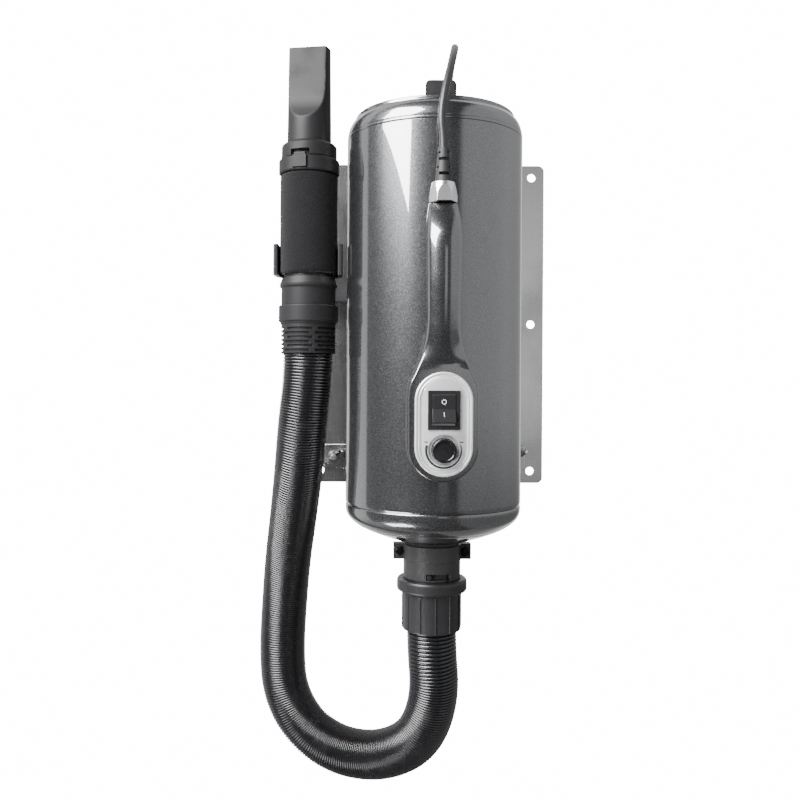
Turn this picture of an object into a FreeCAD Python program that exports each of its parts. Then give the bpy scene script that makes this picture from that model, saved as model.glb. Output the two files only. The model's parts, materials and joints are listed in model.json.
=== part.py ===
"""Wall-mounted pet dryer: a canister blower on a steel wall plate, with a stretch hose and a handset.

Millimetres. The origin is the centre of the wall plate's back face, +X is right as seen from the front,
+Y goes into the wall and +Z is up. Every piece is written to parts/NAME.step.
"""
import FreeCAD, Part
import math
import os

# Wall plate
PLATE_WIDTH = 244.0
PLATE_HEIGHT = 330.0
PLATE_THICK = 2.0
PLATE_CORNER = 6.0
PLATE_HOLE_R = 4.25
PLATE_HOLES_X = 218.0
PLATE_HOLES_Z = 305.0

# Canister shell
SHELL_R = 80.0
SHELL_WALL = 1.2
SHELL_LENGTH = 329.4
SHELL_BOTTOM = -170.6
WALL_GAP = 20.0

# Bracket strap with its wing nuts, and the hook above it
STRAP_LENGTH = 207.0
STRAP_TALL = 25.2
STRAP_Z = -138.2
STRAP_THICK = 2.0
STUD_X = 94.7
STUD_R = 3.0
STUD_REACH = 14.0
WING_SPAN = 23.0
WING_TURN = 40.0
HOOK_Z = 95.0
HOOK_HALF = 13.0
HOOK_DROP = 14.5

# Outlet below the shell
NECK_R = 25.0
NECK_WALL = 2.2
COLLAR_R = 26.2
COLLAR_TOP = -208.3
COLLAR_CLAMP = 14.2
COLLAR_LENGTH = 31.0
EAR_REACH = 35.5
EAR_DEPTH = 5.0
EAR_SCREW_X = 30.4
BAYONET_TWIST = 40.0
BAYONET_PIN_R = 2.2
FLANGE_LIP = 5.5
FLANGE_TALL = 12.1
CUFF_WALL = 3.65
CUFF_LENGTH = 35.4
CUFF_FLUTES = 12

# Stretch hose
HOSE_R = 22.75
HOSE_GROOVE = 1.7
HOSE_BORE_R = 19.6
HOSE_RIBS = 160
HOSE_FIT = 0.3
HOSE_IN_CUFF = 12.0

# Handset and its clip
HANDSET_GAP = 3.7
GRIP_R = 26.5
GRIP_BOTTOM = 38.0
GRIP_TOP = 128.5
HANDSET_TUBE_R = 21.0
HANDSET_BORE_R = 18.8
RING_R = 27.8
RING_TALL = 13.0
NOZZLE_COLLAR_R = 25.4
NOZZLE_COLLAR_TALL = 14.0
NOZZLE_R = 20.4
NOZZLE_TAPER = 1.2
NOZZLE_LENGTH = 103.6
NOZZLE_FLAT_FROM = 35.2
NOZZLE_MOUTH_DEPTH = 13.0
NOZZLE_SCOOP = 5.5
NOZZLE_WALL = 2.0
NOZZLE_PULL = 24.0
LATCH_ANGLE = -14.5
LATCH_WIDTH = 13.2
SLEEVE_WALL = 1.85
CUFF_RIM = 1.5
SLEEVE_BOTTOM = -35.0
SLEEVE_SLOT_ROWS = 6
SLEEVE_SLOT_PITCH = 3.9
SLEEVE_SLOTS = 5
SLEEVE_SLOT_ARC = 61.0
SLEEVE_SLOT_START = -144.0
CUFF_RING_WALL = 2.4
CLIP_TALL = 28.0
CLIP_Z = 50.5
CLIP_WALL = 4.6
CLIP_PLAY = 0.5
CLIP_CHEEK = 12.0

# Handle with the control pod on its lower end
POD_HALF = 28.0
POD_BOTTOM = -140.0
POD_DEPTH = 31.0
POD_WALL = 3.2
BAR_HALF = 14.3
BAR_DEPTH = 39.0
BAR_THICK = 18.0
HANDLE_TOP = 85.0
FINGER_BOTTOM = -20.0
FINGER_TOP = 46.0
HANDLE_ROOT = 24.0
FOOT_DRAFT = 2.7
GASKET_THICK = 1.5
BEZEL_HALF = 23.0
BEZEL_TALL = 83.0
BEZEL_Z = -93.6
BEZEL_THICK = 3.0
ROCKER_WIDTH = 25.5
ROCKER_TALL = 31.0
ROCKER_Z = -82.4
ROCKER_TILT = 10.0
ROCKER_PIN_R = 1.2
KNOB_R = 10.2
KNOB_Z = -114.0
KNOB_TALL = 11.0
KNOB_FLUTES = 16
SPINDLE_R = 3.0

# Gland and strain relief on top of the handle
GLAND_DEPTH = 15.5
GLAND_HEX = 20.0
GLAND_TALL = 16.0
RELIEF_TALL = 28.0
RELIEF_PITCH = 5.95
CORD_R = 3.25

# Inlet at the top
RIM_R = 72.6
RIM_RISE = 22.2
COVER_R = 69.2
TAB_WIDTH = 26.0
TAB_RISE = 35.6
COVER_SLOTS = 20

# Blower inside
MOTOR_R = 46.0
MOTOR_BOTTOM = 16.0
MOTOR_TALL = 84.0
SHAFT_R = 4.0
SHAFT_FIT = 0.05
FAN_R = 55.0
FAN_BLADES = 9

# Power cord put away as a flat coil of two layers round the hook
COIL_HALF_TURNS = 16
COIL_OUTER_R = 49.5
COIL_PITCH = 7.1
COIL_CLIMB_IN = 1.0
CORD_SIDES = 8

# Values that follow from the ones above
BODY_Y = -(PLATE_THICK + WALL_GAP + SHELL_R)
HANDSET_X = -(SHELL_R + HANDSET_GAP + CLIP_WALL + CLIP_PLAY + GRIP_R)
CUFF_R = HOSE_R + HOSE_FIT + CUFF_WALL
FLANGE_R = CUFF_R + FLANGE_LIP
SLEEVE_R = HOSE_R + HOSE_FIT + SLEEVE_WALL
CUFF_RIM_R = SLEEVE_R + CUFF_RIM
CUFF_RING_R = SLEEVE_R + CUFF_RING_WALL
FRONT_Y = BODY_Y - SHELL_R
SHELL_TOP = SHELL_BOTTOM + SHELL_LENGTH
COLLAR_BOTTOM = COLLAR_TOP - COLLAR_LENGTH
FLANGE_BOTTOM = COLLAR_BOTTOM - FLANGE_TALL
OUTLET_END = FLANGE_BOTTOM - CUFF_LENGTH
RING_BOTTOM = GRIP_TOP + 0.5
RING_TOP = RING_BOTTOM + RING_TALL
NOZZLE_BOTTOM = RING_TOP + 0.6
GLAND_Y = FRONT_Y - GLAND_DEPTH
RELIEF_BOTTOM = HANDLE_TOP + GLAND_TALL
RELIEF_TOP = RELIEF_BOTTOM + RELIEF_TALL
POD_FACE_Y = FRONT_Y - POD_DEPTH
BEZEL_FACE_Y = POD_FACE_Y - BEZEL_THICK

# The hose's centre line, from the outlet round the bottom and up to the handset
HOSE_ROUTE = [
    (0.0, BODY_Y, OUTLET_END + HOSE_IN_CUFF),
    (0.0, BODY_Y, -304.0),
    (4.0, -99.0, -346.0),
    (-4.0, -89.0, -384.0),
    (-21.0, -75.0, -409.0),
    (-52.0, -57.0, -426.0),
    (-90.0, -41.0, -426.0),
    (-123.0, -31.0, -406.0),
    (-142.0, -27.0, -372.0),
    (-145.0, -26.5, -330.0),
    (-142.5, -29.0, -284.0),
    (-138.5, -40.0, -238.0),
    (-131.5, -62.0, -193.0),
    (-125.0, -86.0, -148.0),
    (-120.5, -100.0, -100.0),
    (HANDSET_X, BODY_Y, -54.0),
    (HANDSET_X, BODY_Y, SLEEVE_BOTTOM + HOSE_IN_CUFF),
]

# The cord's centre line, from the strain relief over the inlet to the coil behind the shell
COIL_FRONT_Y = -14.85
COIL_BACK_Y = COIL_FRONT_Y + COIL_PITCH
CORD_ROUTE = [
    (0.0, GLAND_Y, RELIEF_TOP),
    (0.0, GLAND_Y, RELIEF_TOP + 8.0),
    (-2.2, GLAND_Y, 155.0),
    (0.6, -194.0, 176.0),
    (6.2, -185.0, 198.0),
    (11.5, -166.0, 221.0),
    (15.0, -136.0, 236.0),
    (16.0, -101.0, 237.0),
    (16.0, -67.0, 225.0),
    (18.0, -40.0, 201.0),
    (25.0, -22.0, 176.0),
    (37.0, COIL_FRONT_Y, 152.0),
    (COIL_OUTER_R, COIL_FRONT_Y, 128.0),
    (COIL_OUTER_R, COIL_FRONT_Y, HOOK_Z),
]

AXIS = FreeCAD.Vector(0, BODY_Y, 0)
HANDSET_AXIS = FreeCAD.Vector(HANDSET_X, BODY_Y, 0)
UP = FreeCAD.Vector(0, 0, 1)
parts = {}


def point(x, y, z):
    return FreeCAD.Vector(x, y, z)


def closed_wire(steps, place):
    """Wire through steps: (a, b) is a straight run to a, b and (c, d, a, b) an arc through c, d to a, b."""
    ends = [place(*step[-2:]) for step in steps]
    edges = []
    for index, step in enumerate(steps):
        start = ends[index - 1]
        if len(step) == 2:
            edges.append(Part.LineSegment(start, ends[index]).toShape())
        else:
            edges.append(Part.Arc(start, place(*step[:2]), ends[index]).toShape())
    return Part.Wire(edges)


def turned(steps, axis=AXIS, angle=360.0, start=0.0):
    """Solid of revolution about a vertical axis, from an outline of radius and height."""
    wire = closed_wire(steps, lambda r, z: axis + point(r, 0, z))
    face = Part.Face(wire)
    if start:
        face.rotate(axis, UP, start)
    return face.revolve(axis, UP, angle)


def plate_xz(steps, y_front, y_back):
    """Plate cut to an outline of x and z, between two depths."""
    face = Part.Face(closed_wire(steps, lambda x, z: point(x, y_front, z)))
    return face.extrude(point(0, y_back - y_front, 0))


def plate_yz(steps, x_left, x_right):
    """Plate cut to an outline of y and z, between two values of x."""
    face = Part.Face(closed_wire(steps, lambda y, z: point(x_left, y, z)))
    return face.extrude(point(x_right - x_left, 0, 0))


def plate_xy(steps, z_low, z_high):
    """Plate cut to an outline of x and y, between two heights."""
    face = Part.Face(closed_wire(steps, lambda x, y: point(x, y, z_low)))
    return face.extrude(point(0, 0, z_high - z_low))


def rounded(half_a, half_b, radius, a=0.0, b=0.0):
    """Outline of a rectangle with rounded corners, centred on a, b."""
    inner_a = half_a - radius
    inner_b = half_b - radius
    bulge = radius * math.sqrt(0.5)
    steps = []
    for sign_a, sign_b in ((1, 1), (-1, 1), (-1, -1), (1, -1)):
        side = (a + sign_a * half_a, b + sign_b * inner_b)
        middle = (a + sign_a * (inner_a + bulge), b + sign_b * (inner_b + bulge))
        end = (a + sign_a * inner_a, b + sign_b * half_b)
        if sign_a * sign_b > 0:
            steps += [side, middle + end]
        else:
            steps += [end, middle + side]
    return steps


def tube(outer, bore, low, high, axis=AXIS):
    return turned([(bore, low), (outer, low), (outer, high), (bore, high)], axis)


def rod(radius, low, high, axis=AXIS):
    return Part.makeCylinder(radius, high - low, axis + point(0, 0, low))


def rod_y(radius, x, z, y_front, y_back):
    return Part.makeCylinder(radius, y_back - y_front, point(x, y_front, z), point(0, 1, 0))


def block(x_low, y_low, z_low, x_high, y_high, z_high):
    return Part.makeBox(x_high - x_low, y_high - y_low, z_high - z_low, point(x_low, y_low, z_low))


def around(shape, count, axis=AXIS, start=0.0):
    """Copies of a shape spaced evenly about a vertical axis."""
    copies = []
    for index in range(count):
        copy = shape.copy()
        copy.rotate(axis, UP, start + 360.0 * index / count)
        copies.append(copy)
    return copies


def fused(first, *others):
    """Pieces that are made as one, joined in a single solid."""
    return first.fuse(list(others)).removeSplitter()


def cut(shape, *tools):
    return shape.cut(list(tools))


def route_edges(points, name):
    """Straight runs joined by tangent arcs, each arc as large as its two runs allow."""
    corners = [point(*p) for p in points]
    edges = []
    radii = []
    last = corners[0]
    for before, corner, after in zip(corners, corners[1:], corners[2:]):
        run_in = (corner - before).Length
        run_out = (after - corner).Length
        toward = (corner - before).normalize()
        away = (after - corner).normalize()
        turn = toward.getAngle(away)
        reach = 0.45 * min(run_in, run_out)
        radii.append(reach / math.tan(turn / 2))
        begin = corner - toward * reach
        end = corner + away * reach
        inward = (away - toward).normalize()
        sagitta = radii[-1] * (1 / math.cos(turn / 2) - 1)
        edges.append(Part.LineSegment(last, begin).toShape())
        edges.append(Part.Arc(begin, corner + inward * sagitta, end).toShape())
        last = end
    edges.append(Part.LineSegment(last, corners[-1]).toShape())
    print(name, "arc radii:", " ".join(f"{r:.0f}" for r in radii))
    return edges


def biarc(start, start_way, end, end_way):
    """Two arcs that leave the start and reach the end along the given directions."""
    chord = end - start
    ways = start_way + end_way
    spread = 2 * (1 - start_way.dot(end_way))
    along = chord.dot(ways)
    reach = (math.sqrt(along * along + spread * chord.dot(chord)) - along) / spread
    first = start + start_way * reach
    second = end - end_way * reach
    joint = (first + second) * 0.5
    edges = []
    for corner, here, there in ((first, start, joint), (second, joint, end)):
        middle = (here + there) * 0.5
        half_chord = (there - here).Length / 2
        rise = (corner - middle).Length
        sagitta = half_chord * (math.hypot(rise, half_chord) - half_chord) / rise
        edges.append(Part.Arc(here, middle + (corner - middle).normalize() * sagitta, there).toShape())
    return edges


def tube_along(edges, radius, sides):
    """Tube of a many-sided section with the same area as the round one, carried along joined edges."""
    start = edges[0].valueAt(edges[0].FirstParameter)
    way = edges[0].tangentAt(edges[0].FirstParameter)
    across = point(0, 1, 0) if abs(way.y) < 0.9 else point(1, 0, 0)
    across = (across - way * across.dot(way)).normalize()
    corner_r = radius * math.sqrt(2 * math.pi / sides / math.sin(2 * math.pi / sides))
    ring = []
    for index in range(sides + 1):
        spin = FreeCAD.Rotation(way, 360.0 * (index % sides + 0.5) / sides)
        ring.append(start + spin.multVec(across) * corner_r)
    sweep = Part.BRepOffsetAPI.MakePipeShell(Part.Wire(edges))
    sweep.add(Part.makePolygon(ring))
    sweep.build()
    sweep.makeSolid()
    return sweep.shape()


def compare_volume(name, solid, radius, edges):
    length = sum(edge.Length for edge in edges)
    ratio = solid.Volume / (math.pi * radius * radius * length)
    print(f"{name}: length {length:.0f}, volume over section times length {ratio:.3f}")


def wall_plate():
    outline = rounded(PLATE_WIDTH / 2, PLATE_HEIGHT / 2, PLATE_CORNER)
    plate = plate_xz(outline, -PLATE_THICK, 0)
    holes = []
    for x in (-PLATE_HOLES_X / 2, PLATE_HOLES_X / 2):
        for z in (-PLATE_HOLES_Z / 2, 0, PLATE_HOLES_Z / 2):
            holes.append(rod_y(PLATE_HOLE_R, x, z, -PLATE_THICK - 1, 1))
    for x in (-STUD_X, STUD_X):
        holes.append(rod_y(STUD_R, x, STRAP_Z, -PLATE_THICK - 1, 1))
    return cut(plate, *holes)


def strap_studs():
    """Threaded studs pressed into the plate, flush with its back."""
    reach = PLATE_THICK + STUD_REACH
    return [rod_y(STUD_R, x, STRAP_Z, -reach, 0) for x in (-STUD_X, STUD_X)]


def lower_strap():
    """Strap with flat ends on the plate and a raised middle behind the shell."""
    back = -PLATE_THICK
    crown = -(PLATE_THICK + WALL_GAP - 2.0)
    end = STRAP_LENGTH / 2
    foot = 62.0
    top = 34.0
    thick = STRAP_THICK
    slant = 0.8
    outline = [
        (end, back), (end, back - thick), (foot + slant, back - thick), (top + slant, crown),
        (-top - slant, crown), (-foot - slant, back - thick), (-end, back - thick), (-end, back),
        (-foot, back), (-top, crown + thick), (top, crown + thick), (foot, back),
    ]
    strap = plate_xy(outline, STRAP_Z - STRAP_TALL / 2, STRAP_Z + STRAP_TALL / 2)
    holes = [rod_y(STUD_R + 0.4, x, STRAP_Z, back - thick - 1, 1) for x in (-STUD_X, STUD_X)]
    return cut(strap, *holes)


def lower_saddle():
    """Rubber pad between the strap's middle and the shell."""
    crown = -(PLATE_THICK + WALL_GAP - 2.0)
    half = 28.0
    low = STRAP_Z - STRAP_TALL / 2
    pad = block(-half, BODY_Y, low, half, crown, low + STRAP_TALL)
    return cut(pad, rod(SHELL_R, low - 1, low + STRAP_TALL + 1))


def upper_hook():
    """Hook on the plate, open at the top."""
    back = -PLATE_THICK
    low = HOOK_Z - HOOK_DROP
    lip_top = HOOK_Z + HOOK_DROP - 2.0
    outline = [
        (back, low), (back, HOOK_Z + 6), (back - 2, HOOK_Z + 6), (back - 2, low + 2),
        (back - 9, low + 2), (back - 9, lip_top), (back - 11, lip_top), (back - 11, low),
    ]
    return plate_yz(outline, -HOOK_HALF, HOOK_HALF)


def body_hanger():
    """Catch on the back of the shell that drops over the hook's lip."""
    back = -PLATE_THICK
    top = HOOK_Z + HOOK_DROP
    seat = -(PLATE_THICK + WALL_GAP) - 4
    outline = [
        (seat, top - 26), (seat, top), (back - 5, top), (back - 5, top - 22), (back - 7, top - 22),
        (back - 7, top - 2), (back - 16, top - 2), (back - 16, top - 26),
    ]
    catch = plate_yz(outline, -HOOK_HALF, HOOK_HALF)
    return cut(catch, rod(SHELL_R, top - 40, top + 10))


def wing_nut(x):
    """Wing nut on its stud, its wings along a slanting line."""
    seat = -(PLATE_THICK + STRAP_THICK)
    hub = Part.makeCone(6.0, 4.6, 7.0, point(x, seat, STRAP_Z), point(0, -1, 0))
    half = WING_SPAN / 2
    wings = plate_xz(
        [(3, -3.0), (half - 2, -4.5), (half + 1.5, 0, half - 2, 4.5), (3, 3.0),
         (-3, 3.0), (2 - half, 4.5), (-half - 1.5, 0, 2 - half, -4.5), (-3, -3.0)], -1.3, 1.3)
    wings.rotate(point(0, 0, 0), point(1, 0, 0), 90)
    wings.translate(point(x, seat - 8.0, STRAP_Z))
    wings.rotate(point(x, 0, STRAP_Z), point(0, 1, 0), -WING_TURN)
    bore = rod_y(STUD_R + SHAFT_FIT, x, STRAP_Z, seat - 20, seat + 1)
    return cut(fused(hub, wings), bore)


def shell_tube():
    """Sheet steel tube, with a hole behind the control pod for the wires."""
    body = tube(SHELL_R, SHELL_R - SHELL_WALL, SHELL_BOTTOM, SHELL_TOP)
    wires = rod_y(9.0, 0, BEZEL_Z, FRONT_Y - 1, FRONT_Y + 20)
    screws = [rod_y(2.1, 0, z, FRONT_Y - 1, FRONT_Y + 20) for z in handle_screw_heights()]
    return cut(body, wires, *screws)


def top_shoulder():
    """Rolled top end of the shell, with a bead round the inlet and a ledge inside it."""
    wall = SHELL_WALL
    z = SHELL_TOP
    return turned([
        (SHELL_R, z), (SHELL_R, z + 3.2), (78.3 / 80 * SHELL_R, z + 11.6, RIM_R + 1.6, z + 17.2),
        (RIM_R + 0.2, z + 18.2, RIM_R, z + 19.4), (RIM_R, z + RIM_RISE - 1.2),
        (RIM_R - 1.2, z + RIM_RISE, RIM_R - 2.4, z + RIM_RISE - 1.2), (RIM_R - 2.4, z + 14.0),
        (RIM_R + 1.0, z + 14.0), (SHELL_R - 4.5, z + 10.0, SHELL_R - wall, z + 3.0), (SHELL_R - wall, z),
    ])


def inlet_grille():
    """Fixed grille under the filter: a rim, two rings and spokes."""
    z = SHELL_TOP - 1.0
    rim = tube(SHELL_R - SHELL_WALL - 0.3, COVER_R - 3, z - 3, z + 1)
    rings = [tube(r + 2.5, r, z - 2, z + 1) for r in (24.0, 46.0)]
    spoke = block(24.5, BODY_Y - 1.2, z - 2, COVER_R - 2.5, BODY_Y + 1.2, z + 1)
    return fused(rim, *rings, *around(spoke, 8))


def filter_foam():
    z = SHELL_TOP + 0.3
    return rod(COVER_R - 3.5, z, z + 13.0)


def filter_cover():
    """Twist-on inlet cover with slots and a thumb tab at the front."""
    z = SHELL_TOP + 14.4
    disc = turned([
        (0, z), (COVER_R - 3, z), (COVER_R - 3, z - 10), (COVER_R, z - 10), (COVER_R, z + 3.0),
        (COVER_R - 1, z + 4.2, COVER_R - 2.4, z + 4.6), (0, z + 4.6),
    ])
    slot = block(22, BODY_Y - 2.2, z - 1, COVER_R - 10, BODY_Y + 2.2, z + 6)
    top = SHELL_TOP + TAB_RISE
    half = TAB_WIDTH / 2
    tab = plate_xz(
        [(-half, z + 2), (half, z + 2), (half, top - 4), (half - 1.2, top - 1.2, half - 4, top),
         (4 - half, top), (1.2 - half, top - 1.2, -half, top - 4)], 0, 4.0)
    tab.translate(point(0, BODY_Y - COVER_R + 1.5, 0))
    return fused(cut(disc, *around(slot, COVER_SLOTS, start=9.0)), tab)


def bottom_shoulder():
    """Rolled lower end of the shell, painted like the tube."""
    z = SHELL_BOTTOM
    wall = SHELL_WALL
    r = SHELL_R
    return turned([
        (r, z), (r - wall, z), (r - wall, z - 5.5), (r - 2.8, z - 11.0, r - 9.4, z - 15.0),
        (r - 9.4, z - 16.6), (r - 8.0, z - 16.4), (r - 1.2, z - 11.8, r, z - 5.0),
    ])


def outlet_dome():
    """Bright dome that closes the shell and carries the outlet neck."""
    z = SHELL_BOTTOM - 16.6
    edge = SHELL_R - 8.2
    return turned([
        (edge, z), (62.0 / 71.8 * edge, z - 6.6, 50.0 / 71.8 * edge, z - 11.2),
        (NECK_R + 10, z - 17.0), (NECK_R + 2, z - 18.2), (NECK_R, z - 18.2), (NECK_R, z - 16.8),
        (NECK_R + 9, z - 15.4), (49.0 / 71.8 * edge, z - 9.4), (60.6 / 71.8 * edge, z - 5.0, edge - 1.2, z),
    ])


def outlet_neck():
    """Short spout through the dome, with a flange inside it."""
    flange = SHELL_BOTTOM - 33.0
    return turned([
        (NECK_R - NECK_WALL, COLLAR_TOP - COLLAR_CLAMP), (NECK_R, COLLAR_TOP - COLLAR_CLAMP),
        (NECK_R, flange), (NECK_R + 3, flange + 0.2), (NECK_R + 3, flange + 3),
        (NECK_R - NECK_WALL, flange + 3),
    ])


def collar_half(side):
    """Half of the clamp collar: it grips the neck above and guides the bayonet below."""
    step = COLLAR_TOP - COLLAR_CLAMP
    ring = turned([
        (NECK_R, COLLAR_TOP), (NECK_R, step), (NECK_R - 2.0, step), (NECK_R - 2.0, COLLAR_BOTTOM),
        (COLLAR_R, COLLAR_BOTTOM), (COLLAR_R, step), (COLLAR_R + 1.0, step + 0.5),
        (COLLAR_R + 1.0, COLLAR_TOP - 0.5), (COLLAR_R, COLLAR_TOP),
    ])
    near = BODY_Y + side * 0.25
    far = BODY_Y + side * EAR_DEPTH
    low_y, high_y = min(near, far), max(near, far)
    ears = []
    for sign in (-1, 1):
        inner = sign * (NECK_R + 0.6)
        outer = sign * EAR_REACH
        ears.append(block(min(inner, outer), low_y, step, max(inner, outer), high_y, COLLAR_TOP))
    keep_y = (BODY_Y - 60, near) if side < 0 else (near, BODY_Y + 60)
    keep = block(-60, keep_y[0], COLLAR_BOTTOM - 1, 60, keep_y[1], COLLAR_TOP + 1)
    half = fused(ring, *ears).common(keep)
    middle = COLLAR_TOP - COLLAR_CLAMP / 2
    bolts = [rod_y(2.1, sign * EAR_SCREW_X, middle, BODY_Y - 20, BODY_Y + 20) for sign in (-1, 1)]
    neck = rod(NECK_R, step, COLLAR_TOP + 1)
    half = cut(half, neck, *bolts)
    return cut(half, *bayonet_slot()) if side < 0 else half


def bayonet_slot():
    """L-shaped slot: a level run for the pin and a way down to the collar's lower edge."""
    low = COLLAR_BOTTOM + 1.6
    high = COLLAR_BOTTOM + 1.6 + 2 * BAYONET_PIN_R + 0.8
    margin = 5.6
    start = -100.0 - margin
    level = turned([(NECK_R - 4, low), (COLLAR_R + 4, low), (COLLAR_R + 4, high), (NECK_R - 4, high)],
                   angle=BAYONET_TWIST + 2 * margin, start=start)
    way_down = turned([(NECK_R - 4, COLLAR_BOTTOM - 1), (COLLAR_R + 4, COLLAR_BOTTOM - 1),
                       (COLLAR_R + 4, high), (NECK_R - 4, high)],
                      angle=2 * margin, start=start + BAYONET_TWIST)
    return level, way_down


def collar_screws():
    middle = COLLAR_TOP - COLLAR_CLAMP / 2
    screws = []
    for sign in (-1, 1):
        x = sign * EAR_SCREW_X
        shank = rod_y(2.1, x, middle, BODY_Y - EAR_DEPTH, BODY_Y + EAR_DEPTH + 3)
        head = rod_y(3.8, x, middle, BODY_Y - EAR_DEPTH - 3.0, BODY_Y - EAR_DEPTH)
        head = head.makeFillet(1.0, [edge_at(head, BODY_Y - EAR_DEPTH - 3.0)])
        nut = hexagon(3.9, 3.0, point(x, BODY_Y + EAR_DEPTH, middle), point(0, 1, 0))
        screws.append(fused(head, shank, nut))
    return screws


def edge_at(shape, y):
    """The round edge of a shape that lies at one depth."""
    for edge in shape.Edges:
        if max(abs(edge.BoundBox.YMin - y), abs(edge.BoundBox.YMax - y)) < 1e-6:
            return edge


def hexagon(radius, height, base, way):
    """Six-sided prism of the given corner radius."""
    across = point(1, 0, 0) if abs(way.x) < 0.9 else point(0, 0, 1)
    corners = []
    for index in range(7):
        spin = FreeCAD.Rotation(way, 60.0 * (index % 6) + 30.0)
        corners.append(base + spin.multVec(across) * radius)
    return Part.Face(Part.makePolygon(corners)).extrude(way * height)


def coupling_ring():
    """Bayonet spigot with its pin and the hand flange below it."""
    spigot_r = NECK_R - 2.0 - 0.3
    top = COLLAR_TOP - COLLAR_CLAMP - 0.8
    flange_top = COLLAR_BOTTOM - 0.3
    ring = turned([
        (HOSE_BORE_R, FLANGE_BOTTOM), (FLANGE_R - 1.5, FLANGE_BOTTOM), (FLANGE_R, FLANGE_BOTTOM + 1.5),
        (FLANGE_R, flange_top - 2.0), (FLANGE_R - 0.6, flange_top - 0.6, FLANGE_R - 2.0, flange_top),
        (spigot_r, flange_top), (spigot_r, top - 1), (spigot_r - 1, top), (HOSE_BORE_R, top),
    ])
    rim_y = BODY_Y - FLANGE_R
    grip = block(-1.6, rim_y - 2, FLANGE_BOTTOM - 1, 1.6, rim_y + 1.1, flange_top - 3)
    height = COLLAR_BOTTOM + 1.6 + BAYONET_PIN_R + 0.4
    pin = Part.makeCylinder(BAYONET_PIN_R, COLLAR_R + 1.0 - HOSE_BORE_R - 1.0,
                            point(0, BODY_Y - HOSE_BORE_R - 1.0, height), point(0, -1, 0))
    pin.rotate(AXIS, UP, -10.0)
    return fused(cut(ring, *around(grip, CUFF_FLUTES, start=15.0)), pin)


def fluted_cuff():
    """Cuff that the hose screws into, with twelve flat panels between flutes."""
    top = FLANGE_BOTTOM
    cuff = turned([
        (HOSE_BORE_R, top), (CUFF_R, top), (CUFF_R, OUTLET_END + 1.5), (CUFF_R - 1.5, OUTLET_END),
        (HOSE_R + HOSE_FIT, OUTLET_END), (HOSE_R + HOSE_FIT, OUTLET_END + HOSE_IN_CUFF + 2),
        (HOSE_BORE_R, OUTLET_END + HOSE_IN_CUFF + 4),
    ])
    flute = Part.makeCylinder(1.7, CUFF_LENGTH - 7.0, point(0, BODY_Y - CUFF_R - 0.3, OUTLET_END + 5.0))
    return cut(cuff, *around(flute, CUFF_FLUTES, start=15.0))


def coupling_seal():
    """Rubber ring on top of the spigot."""
    top = COLLAR_TOP - COLLAR_CLAMP - 0.8
    return tube(NECK_R - 2.4, HOSE_BORE_R + 0.3, top, top + 0.7)


def station(edges, distance):
    """Place and direction on a chain of edges at a distance from its start."""
    for edge in edges:
        if distance <= edge.Length or edge is edges[-1]:
            where = edge.getParameterByLength(min(distance, edge.Length))
            return edge.valueAt(where), edge.tangentAt(where)
        distance -= edge.Length


def circle_at(edges, distance, radius):
    """Circle square to the route, its X axis always as near to the wall's direction as it can be."""
    centre, way = station(edges, distance)
    steady = point(0, 1, 0)
    steady = (steady - way * steady.dot(way)).normalize()
    side = way.cross(steady)
    turn = FreeCAD.Rotation(steady, side, way)
    circle = Part.Circle()
    circle.Radius = radius
    shape = circle.toShape()
    shape.Placement = FreeCAD.Placement(centre, turn)
    return Part.Wire([shape])


def hose():
    """Stretch hose: ribs as a ruled loft of four circles each, with a smooth bore cut through."""
    edges = route_edges(HOSE_ROUTE, "hose")
    length = sum(edge.Length for edge in edges)
    pitch = length / HOSE_RIBS
    circles = []
    for rib in range(HOSE_RIBS):
        for share, radius in ((0.0, HOSE_R - HOSE_GROOVE), (0.3, HOSE_R), (0.7, HOSE_R)):
            circles.append(circle_at(edges, (rib + share) * pitch, radius))
    circles.append(circle_at(edges, length, HOSE_R - HOSE_GROOVE))
    outside = Part.makeLoft(circles, True, True)
    bore_steps = 2 * HOSE_RIBS // 3
    bore_circles = [circle_at(edges, length * i / bore_steps, HOSE_BORE_R) for i in range(bore_steps + 1)]
    bore = Part.makeLoft(bore_circles, True, True)
    print(f"hose: length {length:.0f}, rib pitch {pitch:.2f}")
    return outside.cut(bore)


def swivel_cuff():
    """Cuff of the handset: a slotted sleeve below, a plain neck and a rim with a sloping top."""
    axis = HANDSET_AXIS
    hose_r = HOSE_R + HOSE_FIT
    tube_r = HANDSET_TUBE_R + 0.3
    rim_top = GRIP_BOTTOM - 3.0
    body = turned([
        (hose_r, SLEEVE_BOTTOM), (SLEEVE_R, SLEEVE_BOTTOM), (SLEEVE_R, rim_top - 10),
        (CUFF_RIM_R, rim_top - 9), (CUFF_RIM_R, rim_top - 6.5), (CUFF_RIM_R - 2.4, rim_top - 0.5),
        (CUFF_RIM_R - 2.9, rim_top), (tube_r, rim_top), (tube_r, 17.0), (tube_r + 1.6, 17.0),
        (tube_r + 1.6, 13.0), (tube_r, 13.0), (tube_r, 5.0),
        (HANDSET_BORE_R, 5.0), (HANDSET_BORE_R, -4.0), (hose_r, -8.0),
    ], axis)
    windows = []
    for row in range(SLEEVE_SLOT_ROWS):
        low = SLEEVE_BOTTOM + SLEEVE_SLOT_PITCH / 2 + row * SLEEVE_SLOT_PITCH
        high = low + SLEEVE_SLOT_PITCH / 2
        ring = [(hose_r - 1, low), (SLEEVE_R + 1, low), (SLEEVE_R + 1, high), (hose_r - 1, high)]
        window = turned(ring, axis, angle=SLEEVE_SLOT_ARC, start=SLEEVE_SLOT_START + 7.0 * (row % 2))
        windows += around(window, SLEEVE_SLOTS, axis)
    return cut(body, *windows)


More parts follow.
